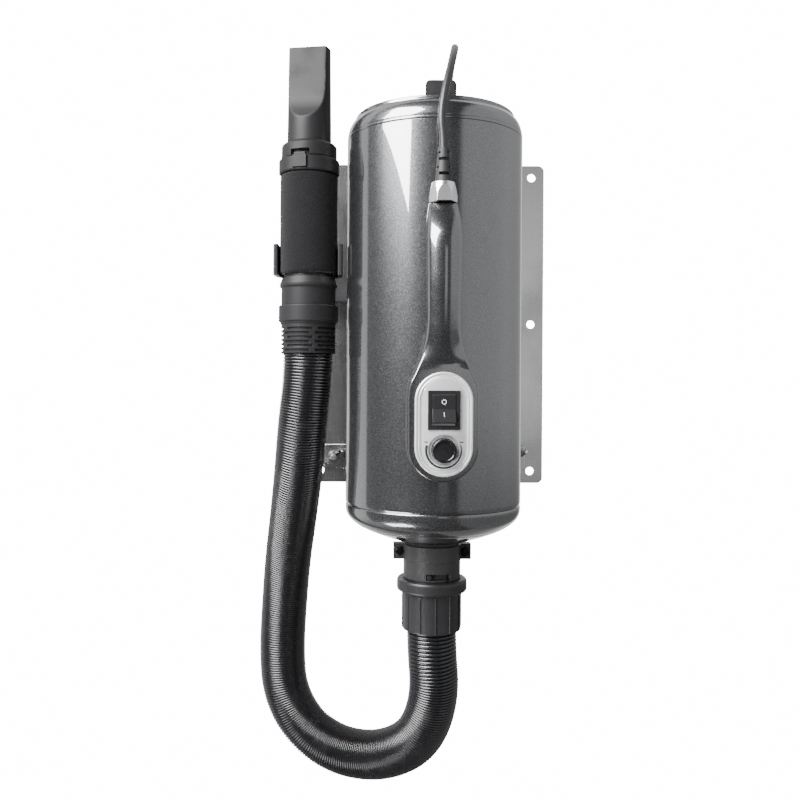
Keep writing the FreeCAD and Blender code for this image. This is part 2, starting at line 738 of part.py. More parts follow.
def cuff_ring():
    """Knurled ring clamped round the cuff."""
    ring = tube(CUFF_RING_R, SLEEVE_R, -8.0, 9.0, HANDSET_AXIS)
    ring = ring.makeChamfer(0.8, [e for e in ring.Edges if abs(e.BoundBox.XLength - 2 * CUFF_RING_R) < 1])
    groove = Part.makeTorus(CUFF_RING_R + 0.4, 1.0, HANDSET_AXIS + point(0, 0, 1.0))
    return cut(ring, groove)


def handset_tube():
    """Stiff tube through the grip, with the bead that turns in the cuff."""
    return turned([
        (HANDSET_BORE_R, 5.6), (HANDSET_TUBE_R, 5.6), (HANDSET_TUBE_R, 13.6), (HANDSET_TUBE_R + 1.2, 13.6),
        (HANDSET_TUBE_R + 1.2, 16.4), (HANDSET_TUBE_R, 16.4), (HANDSET_TUBE_R, RING_TOP),
        (HANDSET_BORE_R, RING_TOP),
    ], HANDSET_AXIS)


def foam_grip():
    edge = 2.0
    return turned([
        (HANDSET_TUBE_R, GRIP_BOTTOM), (GRIP_R - edge, GRIP_BOTTOM),
        (GRIP_R - 0.6, GRIP_BOTTOM + 0.6, GRIP_R, GRIP_BOTTOM + edge), (GRIP_R, GRIP_TOP - edge),
        (GRIP_R - 0.6, GRIP_TOP - 0.6, GRIP_R - edge, GRIP_TOP), (HANDSET_TUBE_R, GRIP_TOP),
    ], HANDSET_AXIS)


def latch_way():
    """Direction from the handset's axis out through the latch."""
    angle = math.radians(LATCH_ANGLE)
    return point(math.sin(angle), -math.cos(angle), 0)


def facing_latch(shape):
    """Turn a shape that was made at the front of the handset's axis round to the latch."""
    shape.rotate(HANDSET_AXIS, UP, LATCH_ANGLE)
    return shape


def latch_block(grow, low, high, inner, outer):
    half = LATCH_WIDTH / 2 + grow
    made = block(HANDSET_X - half, BODY_Y - outer, low, HANDSET_X + half, BODY_Y - inner, high)
    return facing_latch(made)


def handset_ring():
    """Ring at the grip's upper end, with the pocket of the nozzle latch."""
    ring = turned([
        (HANDSET_TUBE_R, RING_BOTTOM), (RING_R - 1, RING_BOTTOM), (RING_R, RING_BOTTOM + 1),
        (RING_R, RING_TOP - 1), (RING_R - 1, RING_TOP), (HANDSET_TUBE_R, RING_TOP),
    ], HANDSET_AXIS)
    pocket = latch_block(0.4, RING_BOTTOM + 1.4, RING_TOP + 1, HANDSET_TUBE_R + 0.6, RING_R + 2)
    return cut(ring, pocket)


def nozzle_latch():
    """Spring button whose tip stands in the nozzle's notch."""
    button = latch_block(0, RING_BOTTOM + 1.8, RING_TOP - 0.2, RING_R - 2.6, RING_R + 1.2)
    tip = latch_block(-1.2, RING_TOP - 1.0, RING_TOP + 2.4, RING_R - 4.0, RING_R + 0.2)
    return fused(button, tip)


def latch_spring():
    """Leaf spring under the latch button."""
    inner = HANDSET_TUBE_R + 0.8
    return latch_block(-2.5, RING_BOTTOM + 2.4, RING_BOTTOM + 10.0, inner, inner + 0.6)


def nozzle_shape(shrink, low, high):
    """Round spout drawn in by two scooped flats; shrink makes the same form smaller for the duct."""
    r_low = NOZZLE_R - shrink
    r_high = NOZZLE_R - NOZZLE_TAPER - shrink
    spout = Part.makeCone(r_low, r_high, high - low, HANDSET_AXIS + point(0, 0, low))
    scoop = NOZZLE_BOTTOM + NOZZLE_FLAT_FROM
    mouth = NOZZLE_MOUTH_DEPTH / 2 - shrink
    clear = NOZZLE_BOTTOM + NOZZLE_LENGTH + 20
    cuts = []
    for sign in (-1, 1):
        begin, bend, end, inner, outer = [
            BODY_Y + sign * reach
            for reach in (r_low, mouth + NOZZLE_SCOOP, mouth + 0.4 * NOZZLE_SCOOP, mouth, r_low + 20)]
        outline = [
            (begin, scoop), (bend, scoop + 13, end, scoop + 26),
            (inner, clear), (outer, clear), (outer, scoop),
        ]
        cuts.append(facing_latch(plate_yz(outline, HANDSET_X - 40, HANDSET_X + 40)))
    return cut(spout, *cuts)


def nozzle():
    """Flat nozzle with its collar and the tenon that plugs into the handset."""
    low = NOZZLE_BOTTOM
    top = low + NOZZLE_LENGTH
    collar = turned([
        (NOZZLE_R - 1, low), (NOZZLE_COLLAR_R, low), (NOZZLE_COLLAR_R, low + NOZZLE_COLLAR_TALL - 2),
        (NOZZLE_COLLAR_R - 2, low + NOZZLE_COLLAR_TALL), (NOZZLE_R - 1, low + NOZZLE_COLLAR_TALL + 3),
    ], HANDSET_AXIS)
    tenon = rod(HANDSET_BORE_R - 0.3, low - NOZZLE_PULL, low + 1, HANDSET_AXIS)
    outside = fused(nozzle_shape(0.0, low, top), collar, tenon)
    bore = rod(HANDSET_BORE_R - 0.3 - NOZZLE_WALL, low - NOZZLE_PULL - 1, low + 1.5, HANDSET_AXIS)
    duct = nozzle_shape(NOZZLE_WALL, low + 1, top + 1)
    notch = latch_block(1.2, low - 1, low + 5.6, RING_R - 6.0, RING_R + 4)
    return cut(outside, bore, duct, notch)


def holder_clip():
    """Spring clip round the back of the grip, with straight cheeks beside it."""
    inner = GRIP_R + CLIP_PLAY
    outer = inner + CLIP_WALL
    low = CLIP_Z - CLIP_TALL / 2
    ring = turned([(inner, low), (outer, low), (outer, low + CLIP_TALL), (inner, low + CLIP_TALL)],
                  HANDSET_AXIS, angle=180.0)
    high = low + CLIP_TALL
    pad = block(HANDSET_X - 9, BODY_Y + outer - 1.5, low, HANDSET_X + 12, BODY_Y + outer + 3.0, high)
    half = CLIP_WALL / 2
    reach = CLIP_CHEEK / 2
    cheeks = []
    for near in (HANDSET_X - outer, HANDSET_X + inner):
        cheeks.append(plate_xy(rounded(half, reach, 1.5, near + half, BODY_Y - reach), low, high))
        cheeks.append(block(near, BODY_Y - reach, low, near + CLIP_WALL, BODY_Y, high))
    return fused(ring, pad, *cheeks)


def holder_arm():
    """Strap from under the shell's edge, bent forward to the clip."""
    tall = 25.0
    low = CLIP_Z - CLIP_TALL / 2 + 3.0 - 16.8
    back = -PLATE_THICK
    tip = BODY_Y + GRIP_R + CLIP_PLAY + CLIP_WALL + 3.0
    x = HANDSET_X
    thick = 2.5
    outline = [
        (-56, back), (-56, back - thick), (x + thick + 4, back - thick),
        (x + thick + 1.2, back - thick - 1.2, x + thick, back - thick - 4),
        (x + thick, tip + thick + 3), (x + thick + 0.9, tip + thick + 0.9, x + thick + 3, tip + thick),
        (x + 12, tip + thick), (x + 12, tip), (x, tip), (x, back - 3), (x + 0.9, back - 0.9, x + 3, back),
    ]
    lower = plate_xy(outline, low, low + tall)
    ear = block(x, tip, low + tall - 1, x + 12, tip + thick, CLIP_Z + CLIP_TALL / 2)
    return fused(lower, ear)


def holder_screws():
    """Heads of the screws that hold the clip to its arm, and the arm to the plate."""
    tip = BODY_Y + GRIP_R + CLIP_PLAY + CLIP_WALL + 3.0
    on_clip = [rod_y(2.8, HANDSET_X + 8.5, z, tip + 2.5, tip + 4.1) for z in (CLIP_Z - 6, CLIP_Z + 6)]
    plate_y = -PLATE_THICK - 2.5
    on_plate = [rod_y(2.8, x, CLIP_Z - 17.5, plate_y - 1.6, plate_y) for x in (-98.0, -62.0)]
    return on_clip + on_plate


def handle_screw_heights():
    return BEZEL_Z + 24.0, HANDLE_TOP - 20.0


def pod_outline(grow=0.0):
    """Front outline of the handle: the pod, the flare above it and the bar."""
    half = POD_HALF + grow
    bar = BAR_HALF + grow
    centre = POD_BOTTOM + POD_HALF
    top = HANDLE_TOP + grow
    right = [
        (half, -71.0), (half - 1.2, -62.0, half - 5.4, -53.5), (bar + 4.4, -42.0),
        (bar + 1.0, -29.0, bar, -16.0), (bar, top - 16), (bar - 0.7, top - 6.5, bar - 3.0, top),
    ]
    left = [
        (3.0 - bar, top), (0.7 - bar, top - 6.5, -bar, top - 16), (-bar, -16.0),
        (-bar - 1.0, -29.0, -bar - 4.4, -42.0), (5.4 - half, -53.5), (1.2 - half, -62.0, -half, -71.0),
        (-half, centre), (0.0, centre - half, half, centre),
    ]
    return right + left


def handle_side():
    """Side outline of the handle: flat over the pod, arched over the bar, back to the shell at the top."""
    pod = POD_FACE_Y
    bar = FRONT_Y - BAR_DEPTH
    inside = FRONT_Y + HANDLE_ROOT
    return [
        (inside, POD_BOTTOM - 1), (pod, POD_BOTTOM - 1), (pod, -46.0), (pod - 5.0, -18.0, bar, 14.0),
        (bar + 3.2, 52.0, FRONT_Y - 27.0, HANDLE_TOP), (inside, HANDLE_TOP),
    ]


def finger_gap():
    """The space between the bar and the shell."""
    back = FRONT_Y + HANDLE_ROOT + 1
    front = FRONT_Y - BAR_DEPTH + BAR_THICK
    centre_z = (FINGER_TOP + FINGER_BOTTOM) / 2
    half_z = (FINGER_TOP - FINGER_BOTTOM) / 2
    half_y = (back - front) / 2
    outline = rounded(half_y, half_z, 9.0, (back + front) / 2, centre_z)
    return plate_yz(outline, -40, 40)


def foot_draft(grow=0.0):
    """What the upper foot is drawn in by at both sides, from the bar back to the shell."""
    wedges = []
    for side in (-1, 1):
        bar = side * (BAR_HALF + grow)
        seat = side * (BAR_HALF - FOOT_DRAFT + grow)
        outline = [
            (bar, FRONT_Y - 27.0), (seat, FRONT_Y), (seat, FRONT_Y + HANDLE_ROOT + 3),
            (side * 30.0, FRONT_Y + HANDLE_ROOT + 3), (side * 30.0, FRONT_Y - 27.0),
        ]
        wedges.append(plate_xy(outline, FINGER_TOP - 14, HANDLE_TOP + 2))
    return wedges


def handle():
    """Moulded grip and control housing, hollow behind the panel."""
    outside = plate_xz(pod_outline(), FRONT_Y - 60, BODY_Y - 40)
    solid = outside.common(plate_yz(handle_side(), -40, 40))
    solid = cut(solid, finger_gap())
    rounding = []
    for edge in solid.Edges:
        box = edge.BoundBox
        on_front = box.YMax < FRONT_Y - 18
        on_side = abs(box.Center.x) > 1.0 and box.ZLength > 0.5 and box.Center.z < HANDLE_TOP - 1
        if on_front and (on_side or box.ZMin < POD_BOTTOM + 0.5):
            rounding.append(edge)
    solid = solid.makeFillet(5.0, rounding)
    seat = rod(SHELL_R + GASKET_THICK, POD_BOTTOM - 20, HANDLE_TOP + 20)
    hollow = plate_xz(rounded(POD_HALF - POD_WALL, 38.0, POD_HALF - POD_WALL - 0.5, 0, BEZEL_Z - 5.0),
                      POD_FACE_Y + POD_WALL, BODY_Y - 40)
    rocker_way = block(-11.2, POD_FACE_Y - 1, ROCKER_Z - 14.2, 11.2, POD_FACE_Y + 10, ROCKER_Z + 14.2)
    knob_way = rod_y(4.0, 0, KNOB_Z, POD_FACE_Y - 1, POD_FACE_Y + 10)
    screws = [rod_y(2.1, 0, z, FRONT_Y - 9, FRONT_Y + 5) for z in handle_screw_heights()]
    return cut(solid, seat, hollow, rocker_way, knob_way, *foot_draft(), *screws)


def handle_gaskets():
    """Thin rubber under the handle's two feet."""
    ring = tube(SHELL_R + GASKET_THICK, SHELL_R, POD_BOTTOM - 5, HANDLE_TOP + 5)
    outline = plate_xz(pod_outline(0.6), FRONT_Y - 60, BODY_Y - 40)
    strip = ring.common(outline).cut(finger_gap())
    wires = plate_xz(rounded(15.0, 26.0, 12.0, 0, BEZEL_Z - 8.0), FRONT_Y - 20, BODY_Y - 40)
    screws = [rod_y(2.1, 0, z, FRONT_Y - 9, FRONT_Y + 15) for z in handle_screw_heights()]
    return cut(strip, wires, *foot_draft(0.6), *screws).Solids


def handle_screws():
    """Screws from inside the shell into the handle's feet."""
    inner = FRONT_Y + SHELL_WALL
    screws = []
    for z in handle_screw_heights():
        shank = rod_y(2.1, 0, z, FRONT_Y - 9, inner + 0.6)
        head = rod_y(4.0, 0, z, inner + 0.3, inner + 2.6)
        screws.append(fused(shank, head))
    return screws


def control_bezel():
    """Bright panel with a raised rim, a window for the rocker and a dish for the knob."""
    face = BEZEL_FACE_Y
    half_z = BEZEL_TALL / 2
    plate = plate_xz(rounded(BEZEL_HALF, half_z, BEZEL_HALF - 0.1, 0, BEZEL_Z), face, POD_FACE_Y)
    front = [e for e in plate.Edges if e.BoundBox.YMax < face + 0.1]
    plate = plate.makeFillet(1.2, front)
    rim = 3.4
    inner = BEZEL_HALF - rim
    step = plate_xz(rounded(inner, half_z - rim, inner - 0.2, 0, BEZEL_Z), face - 1, face + 1.0)
    window = block(-11.2, face - 1, ROCKER_Z - 14.2, 11.2, POD_FACE_Y + 1, ROCKER_Z + 14.2)
    dish = rod_y(KNOB_R + 1.4, 0, KNOB_Z, face - 1, face + 1.8)
    shaft = rod_y(4.0, 0, KNOB_Z, face - 1, POD_FACE_Y + 1)
    return cut(plate, step, window, dish, shaft)


def rocker_frame():
    """Rim and body of the power switch."""
    seat = BEZEL_FACE_Y + 1.0
    rim = block(-ROCKER_WIDTH / 2, seat - 2.2, ROCKER_Z - ROCKER_TALL / 2,
                ROCKER_WIDTH / 2, seat, ROCKER_Z + ROCKER_TALL / 2)
    body = block(-11.0, seat - 1, ROCKER_Z - 14.0, 11.0, seat + 17.0, ROCKER_Z + 14.0)
    pocket = block(-9.6, seat - 5, ROCKER_Z - 12.4, 9.6, seat + 6.5, ROCKER_Z + 12.4)
    pivot = point(-10.8, seat + 2.2, ROCKER_Z)
    pivot = Part.makeCylinder(ROCKER_PIN_R + SHAFT_FIT, 21.6, pivot, point(1, 0, 0))
    return cut(fused(rim, body), pocket, pivot)


def rocker_paddle():
    """Two-faced paddle on its pivot pins, resting with its upper half pressed in."""
    seat = BEZEL_FACE_Y + 1.0
    pivot_y = seat + 2.2
    rise = math.tan(math.radians(ROCKER_TILT)) * 11.0
    outline = [
        (seat - 2.2, ROCKER_Z), (seat - 2.2 - rise, ROCKER_Z + 11.0), (pivot_y + 1.0, ROCKER_Z + 10.6),
        (pivot_y + 2.8, ROCKER_Z), (pivot_y + 1.0, ROCKER_Z - 10.6), (seat - 2.2 - rise, ROCKER_Z - 11.0),
    ]
    paddle = plate_yz(outline, -9.3, 9.3)
    pins = Part.makeCylinder(ROCKER_PIN_R, 21.0, point(-10.5, pivot_y, ROCKER_Z), point(1, 0, 0))
    paddle = fused(paddle, pins)
    paddle.rotate(point(0, pivot_y, ROCKER_Z), point(1, 0, 0), -ROCKER_TILT)
    return paddle


def speed_knob():
    """Round knob with fine grips and a pointer groove on its face."""
    back = BEZEL_FACE_Y + 1.4
    front = back - KNOB_TALL
    knob = Part.makeCone(KNOB_R, KNOB_R - 0.7, KNOB_TALL, point(0, back, KNOB_Z), point(0, -1, 0))
    knob = knob.makeFillet(1.4, [edge_at(knob, front)])
    grips = []
    for index in range(KNOB_FLUTES):
        angle = 2 * math.pi * index / KNOB_FLUTES
        x = math.cos(angle) * (KNOB_R + 0.3)
        z = KNOB_Z + math.sin(angle) * (KNOB_R + 0.3)
        grips.append(rod_y(0.8, x, z, front + 2.0, back - 1.5))
    pointer = block(-0.6, front - 1, KNOB_Z - KNOB_R + 1.5, 0.6, front + 0.7, KNOB_Z - 2.5)
    pointer.rotate(point(0, 0, KNOB_Z), point(0, 1, 0), 72.0)
    bore = rod_y(SPINDLE_R, 0, KNOB_Z, front + 3.0, back + 1)
    return cut(knob, bore, pointer, *grips)


def potentiometer():
    """Case of the speed control behind the panel."""
    back = POD_FACE_Y + POD_WALL
    case = rod_y(8.2, 0, KNOB_Z, back, back + 9.0)
    return cut(case, rod_y(SPINDLE_R + SHAFT_FIT, 0, KNOB_Z, back - 1, back + 6.0))


def knob_spindle():
    """Spindle of the speed control, pressed into the knob."""
    front = BEZEL_FACE_Y + 1.4 - KNOB_TALL
    return rod_y(SPINDLE_R, 0, KNOB_Z, front + 3.0, POD_FACE_Y + POD_WALL + 5.8)


def control_board():
    """Circuit board across the back of the pod, carried by the speed control."""
    near = POD_FACE_Y + POD_WALL + 9.0
    return block(-16.0, near, KNOB_Z - 13.0, 16.0, near + 1.6, KNOB_Z + 12.0)


def gland_nut():
    """Six-sided gland on the handle's top end, one flat to the front."""
    base = point(0, GLAND_Y, HANDLE_TOP)
    nut = hexagon(GLAND_HEX / math.sqrt(3), GLAND_TALL, base, UP)
    nut.rotate(base, UP, 30.0)
    cone = Part.makeCone(GLAND_HEX / 2 + 2.4, GLAND_HEX / 2 - 0.6, GLAND_TALL, base)
    nut = nut.common(cone)
    return cut(nut, rod(CORD_R + 2.6, HANDLE_TOP - 1, RELIEF_BOTTOM + 1, point(0, GLAND_Y, 0)))


def strain_relief():
    """Tapered relief with alternate slots."""
    axis = point(0, GLAND_Y, 0)
    root_r = CORD_R + 2.5
    relief = turned([
        (0, HANDLE_TOP + 0.5), (root_r, HANDLE_TOP + 0.5), (root_r, RELIEF_BOTTOM),
        (root_r + 0.9, RELIEF_BOTTOM), (CORD_R + 1.3, RELIEF_TOP), (0, RELIEF_TOP),
    ], axis)
    slots = []
    for row in range(4):
        z = RELIEF_BOTTOM + 5.4 + row * RELIEF_PITCH
        for turn in (0.0, 180.0):
            slot = block(-4.0, GLAND_Y - 12, z, 4.0, GLAND_Y - 2.4, z + 2.6 - row % 2)
            slot.rotate(axis, UP, turn + 90.0 * (row % 2))
            slots.append(slot)
    return cut(relief, *slots)


def coil_points():
    """Where the cord crosses the level line of the coil, half a turn apart, and its direction there."""
    places = []
    turn_in = COIL_HALF_TURNS // 2 - 1
    for half in range(COIL_HALF_TURNS + 1):
        inward = min(half, turn_in) - max(0, half - turn_in - 1)
        radius = COIL_OUTER_R - COIL_PITCH / 2 * inward
        if half in (turn_in, turn_in + 1):
            radius -= COIL_CLIMB_IN
        side = 1 if half % 2 == 0 else -1
        y = COIL_FRONT_Y if half <= turn_in else COIL_BACK_Y
        places.append((point(side * radius, y, HOOK_Z), point(0, 0, -side)))
    return places


def cord_coil():
    """The put-away cord: one unbroken tube that spirals in, climbs a layer and spirals out."""
    places = coil_points()
    edges = []
    for (here, way), (there, next_way) in zip(places, places[1:]):
        edges += biarc(here, way, there, next_way)
    coil = tube_along(edges, CORD_R, CORD_SIDES)
    compare_volume("cord coil", coil, CORD_R, edges)
    print(f"cord coil: least gap to itself {coil_gap(edges):.2f}")
    return coil


def coil_gap(edges):
    """Least gap between turns, measured on points of the centre line."""
    samples = []
    run = 0.0
    for edge in edges:
        for p in edge.discretize(12)[:-1]:
            samples.append((run + (p - edge.valueAt(edge.FirstParameter)).Length, p))
        run += edge.Length
    least = 1e9
    for index, (s, p) in enumerate(samples):
        for other_s, other in samples[index + 1:]:
            if other_s - s > 60.0:
                least = min(least, (other - p).Length)
    return least - 2 * CORD_R


def cord_end():
    """Where the coil lets the cord go, down to the plug."""
    last, way = coil_points()[-1]
    return [
        (last.x, last.y, last.z), (last.x, last.y, last.z - 16.0),
        (last.x, last.y - 5.0, last.z - 40.0), (last.x, last.y - 5.0, last.z - 58.0),
    ]


def power_cord():
    edges = route_edges(CORD_ROUTE, "power cord")
    cord = tube_along(edges, CORD_R, CORD_SIDES)
    compare_volume("power cord", cord, CORD_R, edges)
    return cord


def plug_cord():
    edges = route_edges(cord_end(), "plug cord")
    cord = tube_along(edges, CORD_R, CORD_SIDES)
    compare_volume("plug cord", cord, CORD_R, edges)
    return cord


def plug():
    """Moulded plug with a tapered sleeve and two round pins, hanging from its cord."""
    x, y, z = cord_end()[-1]
    sleeve = Part.makeCone(CORD_R + 1.2, CORD_R + 3.0, 16.0, point(x, y, z), point(0, 0, -1))
    body = plate_xy(rounded(13.0, 8.0, 6.0, x, y), z - 42.0, z - 16.0)
    body = body.makeFillet(2.0, [e for e in body.Edges if e.BoundBox.ZMin > z - 16.1])
    pin_ends = [point(x + side * 9.5, y, z - 42.0) for side in (-1, 1)]
    pins = [Part.makeCylinder(2.0, 19.0, end, point(0, 0, -1)) for end in pin_ends]
    return fused(body, sleeve, *pins)


def cord_tie():
    """Strap round the lower part of the coil."""
    inner_low = HOOK_Z - COIL_OUTER_R - CORD_R - 3.4
    inner_high = HOOK_Z - COIL_OUTER_R + COIL_PITCH * 3.5 + CORD_R + 0.5
    front = COIL_FRONT_Y - CORD_R - 0.7
    back = COIL_BACK_Y + CORD_R + 0.7
    wall = 1.0
    centre_y = (front + back) / 2
    centre_z = (inner_low + inner_high) / 2
    half_y = (back - front) / 2
    half_z = (inner_high - inner_low) / 2
    outside = plate_yz(rounded(half_y + wall, half_z + wall, 3.0, centre_y, centre_z), -7, 7)
    inside = plate_yz(rounded(half_y, half_z, 2.0, centre_y, centre_z), -8, 8)
    return cut(outside, inside)


def motor_can():
    """Motor casing with a bearing seat at each end."""
    low = MOTOR_BOTTOM
    top = low + MOTOR_TALL
    wall = 2.0
    return turned([
        (11.0, low), (MOTOR_R, low), (MOTOR_R, top), (11.0, top), (11.0, top - 8), (13.0, top - 8),
        (13.0, top - wall), (MOTOR_R - wall, top - wall), (MOTOR_R - wall, low + wall), (13.0, low + wall),
        (13.0, low + 8), (11.0, low + 8),
    ])


def motor_bearings():
    low = MOTOR_BOTTOM
    top = low + MOTOR_TALL
    return [tube(11.0, SHAFT_R + SHAFT_FIT, z, z + 7.0) for z in (low + 0.5, top - 7.5)]


def motor_mounts():
    """Two rubber rings that centre the motor in the shell."""
    outer = SHELL_R - SHELL_WALL
    return [tube(outer, MOTOR_R, z, z + 9.0) for z in (MOTOR_BOTTOM + 10, MOTOR_BOTTOM + MOTOR_TALL - 20)]


def rotor():
    """Armature on its shaft."""
    low = MOTOR_BOTTOM + 18
    shaft = rod(SHAFT_R, MOTOR_BOTTOM - 2, MOTOR_BOTTOM + MOTOR_TALL + 22)
    return fused(shaft, rod(28.0, low, low + 48))


def impeller():
    """Fan wheel: curved blades between two discs."""
    low = MOTOR_BOTTOM + MOTOR_TALL + 4
    back = turned([(SHAFT_R, low), (FAN_R, low), (FAN_R, low + 1.5), (9.0, low + 1.5), (8.0, low + 16),
                   (SHAFT_R, low + 16)])
    front = tube(FAN_R, 24.0, low + 14.5, low + 16)
    sweep = 7.0
    blade = plate_xy([(16, 0), (38, sweep, FAN_R - 1, 0), (FAN_R - 1, 1.2), (38, sweep + 1.2, 16, 1.2)],
                     low + 1.0, low + 15.0)
    blade.translate(AXIS)
    return fused(back, front, *around(blade, FAN_BLADES))


def fan_housing():
    """Shroud round the fan wheel with its inlet eye."""
    low = MOTOR_BOTTOM + MOTOR_TALL
    top = low + 26
    return turned([
        (FAN_R + 4, low), (FAN_R + 6, low), (FAN_R + 6, top), (22.0, top), (22.0, top - 2),
        (FAN_R + 4, top - 2), (FAN_R + 4, low + 2), (MOTOR_R - 6, low + 2), (MOTOR_R - 6, low),
    ])


def heater_frame():
    """Ring, cup and cross of heat-proof board that hold the heating wire."""
    low = -62.0
    flange = tube(SHELL_R - SHELL_WALL - 0.3, 46.0, -14.0, -12.0)
    cup = tube(50.0, 48.5, low, -12.5)
    bars = []
    for angle in (0, 90):
        bar = block(-48.8, BODY_Y - 0.8, low, 48.8, BODY_Y + 0.8, -20.0)
        bar.rotate(AXIS, UP, angle)
        bars.append(bar)
    return cut(fused(flange, cup, *bars), *heater_rings(0.2))


def heater_rings(grow):
    """Places of the heating ribbons; the frame's slots are the same rings made a little larger."""
    rings = []
    for radius in (20.0, 34.0):
        for z in (-54.0, -42.0, -30.0):
            rings.append(tube(radius + 0.5 + grow, radius - 0.5 - grow, z - 2.5 - grow, z + 2.5 + grow))
    return rings


def heater_coil():
    """Heating ribbon, as rings let into the cross."""
    return heater_rings(0.0)


def foam_liner():
    return tube(SHELL_R - SHELL_WALL - 0.3, SHELL_R - 10.0, SHELL_BOTTOM + 8, -78.0)


def as_shape(made):
    """One shape for a node: a single solid, or a group of separate ones."""
    solids = made if isinstance(made, list) else made.Solids
    return solids[0] if len(solids) == 1 else Part.makeCompound(solids)


def build():
    parts["wall_plate"] = wall_plate()
    parts["strap_studs"] = strap_studs()
    parts["lower_strap"] = lower_strap()
    parts["lower_saddle"] = lower_saddle()
    parts["upper_hook"] = upper_hook()
    parts["body_hanger"] = body_hanger()
    parts["wing_nut_left"] = wing_nut(-STUD_X)
    parts["wing_nut_right"] = wing_nut(STUD_X)

    parts["shell_tube"] = shell_tube()
    parts["top_shoulder"] = top_shoulder()
    parts["inlet_grille"] = inlet_grille()
    parts["filter_foam"] = filter_foam()
    parts["filter_cover"] = filter_cover()
    parts["bottom_shoulder"] = bottom_shoulder()
    parts["outlet_dome"] = outlet_dome()
    parts["outlet_neck"] = outlet_neck()
    parts["collar_front"] = collar_half(-1)
    parts["collar_back"] = collar_half(1)
    parts["collar_screws"] = collar_screws()
    parts["coupling_ring"] = coupling_ring()
    parts["coupling_seal"] = coupling_seal()
    parts["fluted_cuff"] = fluted_cuff()
    parts["hose"] = hose()

    parts["swivel_cuff"] = swivel_cuff()
    parts["cuff_ring"] = cuff_ring()
    parts["handset_tube"] = handset_tube()
    parts["foam_grip"] = foam_grip()
    parts["handset_ring"] = handset_ring()
    parts["nozzle_latch"] = nozzle_latch()
    parts["latch_spring"] = latch_spring()
    parts["nozzle"] = nozzle()
    parts["holder_clip"] = holder_clip()
    parts["holder_arm"] = holder_arm()
    parts["holder_screws"] = holder_screws()

    parts["handle"] = handle()
    parts["handle_gaskets"] = handle_gaskets()
    parts["handle_screws"] = handle_screws()
    parts["control_bezel"] = control_bezel()
    parts["rocker_frame"] = rocker_frame()
    parts["rocker_paddle"] = rocker_paddle()
    parts["speed_knob"] = speed_knob()
    parts["potentiometer"] = potentiometer()
    parts["knob_spindle"] = knob_spindle()
    parts["control_board"] = control_board()
    parts["gland_nut"] = gland_nut()
    parts["strain_relief"] = strain_relief()
    parts["power_cord"] = power_cord()
    parts["cord_coil"] = cord_coil()
    parts["plug_cord"] = plug_cord()
    parts["plug"] = plug()
    parts["cord_tie"] = cord_tie()

    parts["motor_can"] = motor_can()
    parts["motor_bearings"] = motor_bearings()
    parts["motor_mounts"] = motor_mounts()
    parts["rotor"] = rotor()
    parts["impeller"] = impeller()
    parts["fan_housing"] = fan_housing()
    parts["heater_frame"] = heater_frame()
    parts["heater_coil"] = heater_coil()
    parts["foam_liner"] = foam_liner()


def write():
    os.makedirs("parts", exist_ok=True)
    for name, made in parts.items():
        shape = as_shape(made)
        if not shape.isValid():
            raise ValueError(f"{name} is not a valid solid")
        if shape.Volume <= 0:
            raise ValueError(f"{name} has no volume")
        shape.exportStep(f"parts/{name}.step")
        print(f"{name}: {len(shape.Solids)} solids, {shape.Volume / 1000:.2f} cm3")


build()
write()
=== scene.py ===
import json
import math

import bmesh
import bpy
import numpy as np
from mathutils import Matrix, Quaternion, Vector

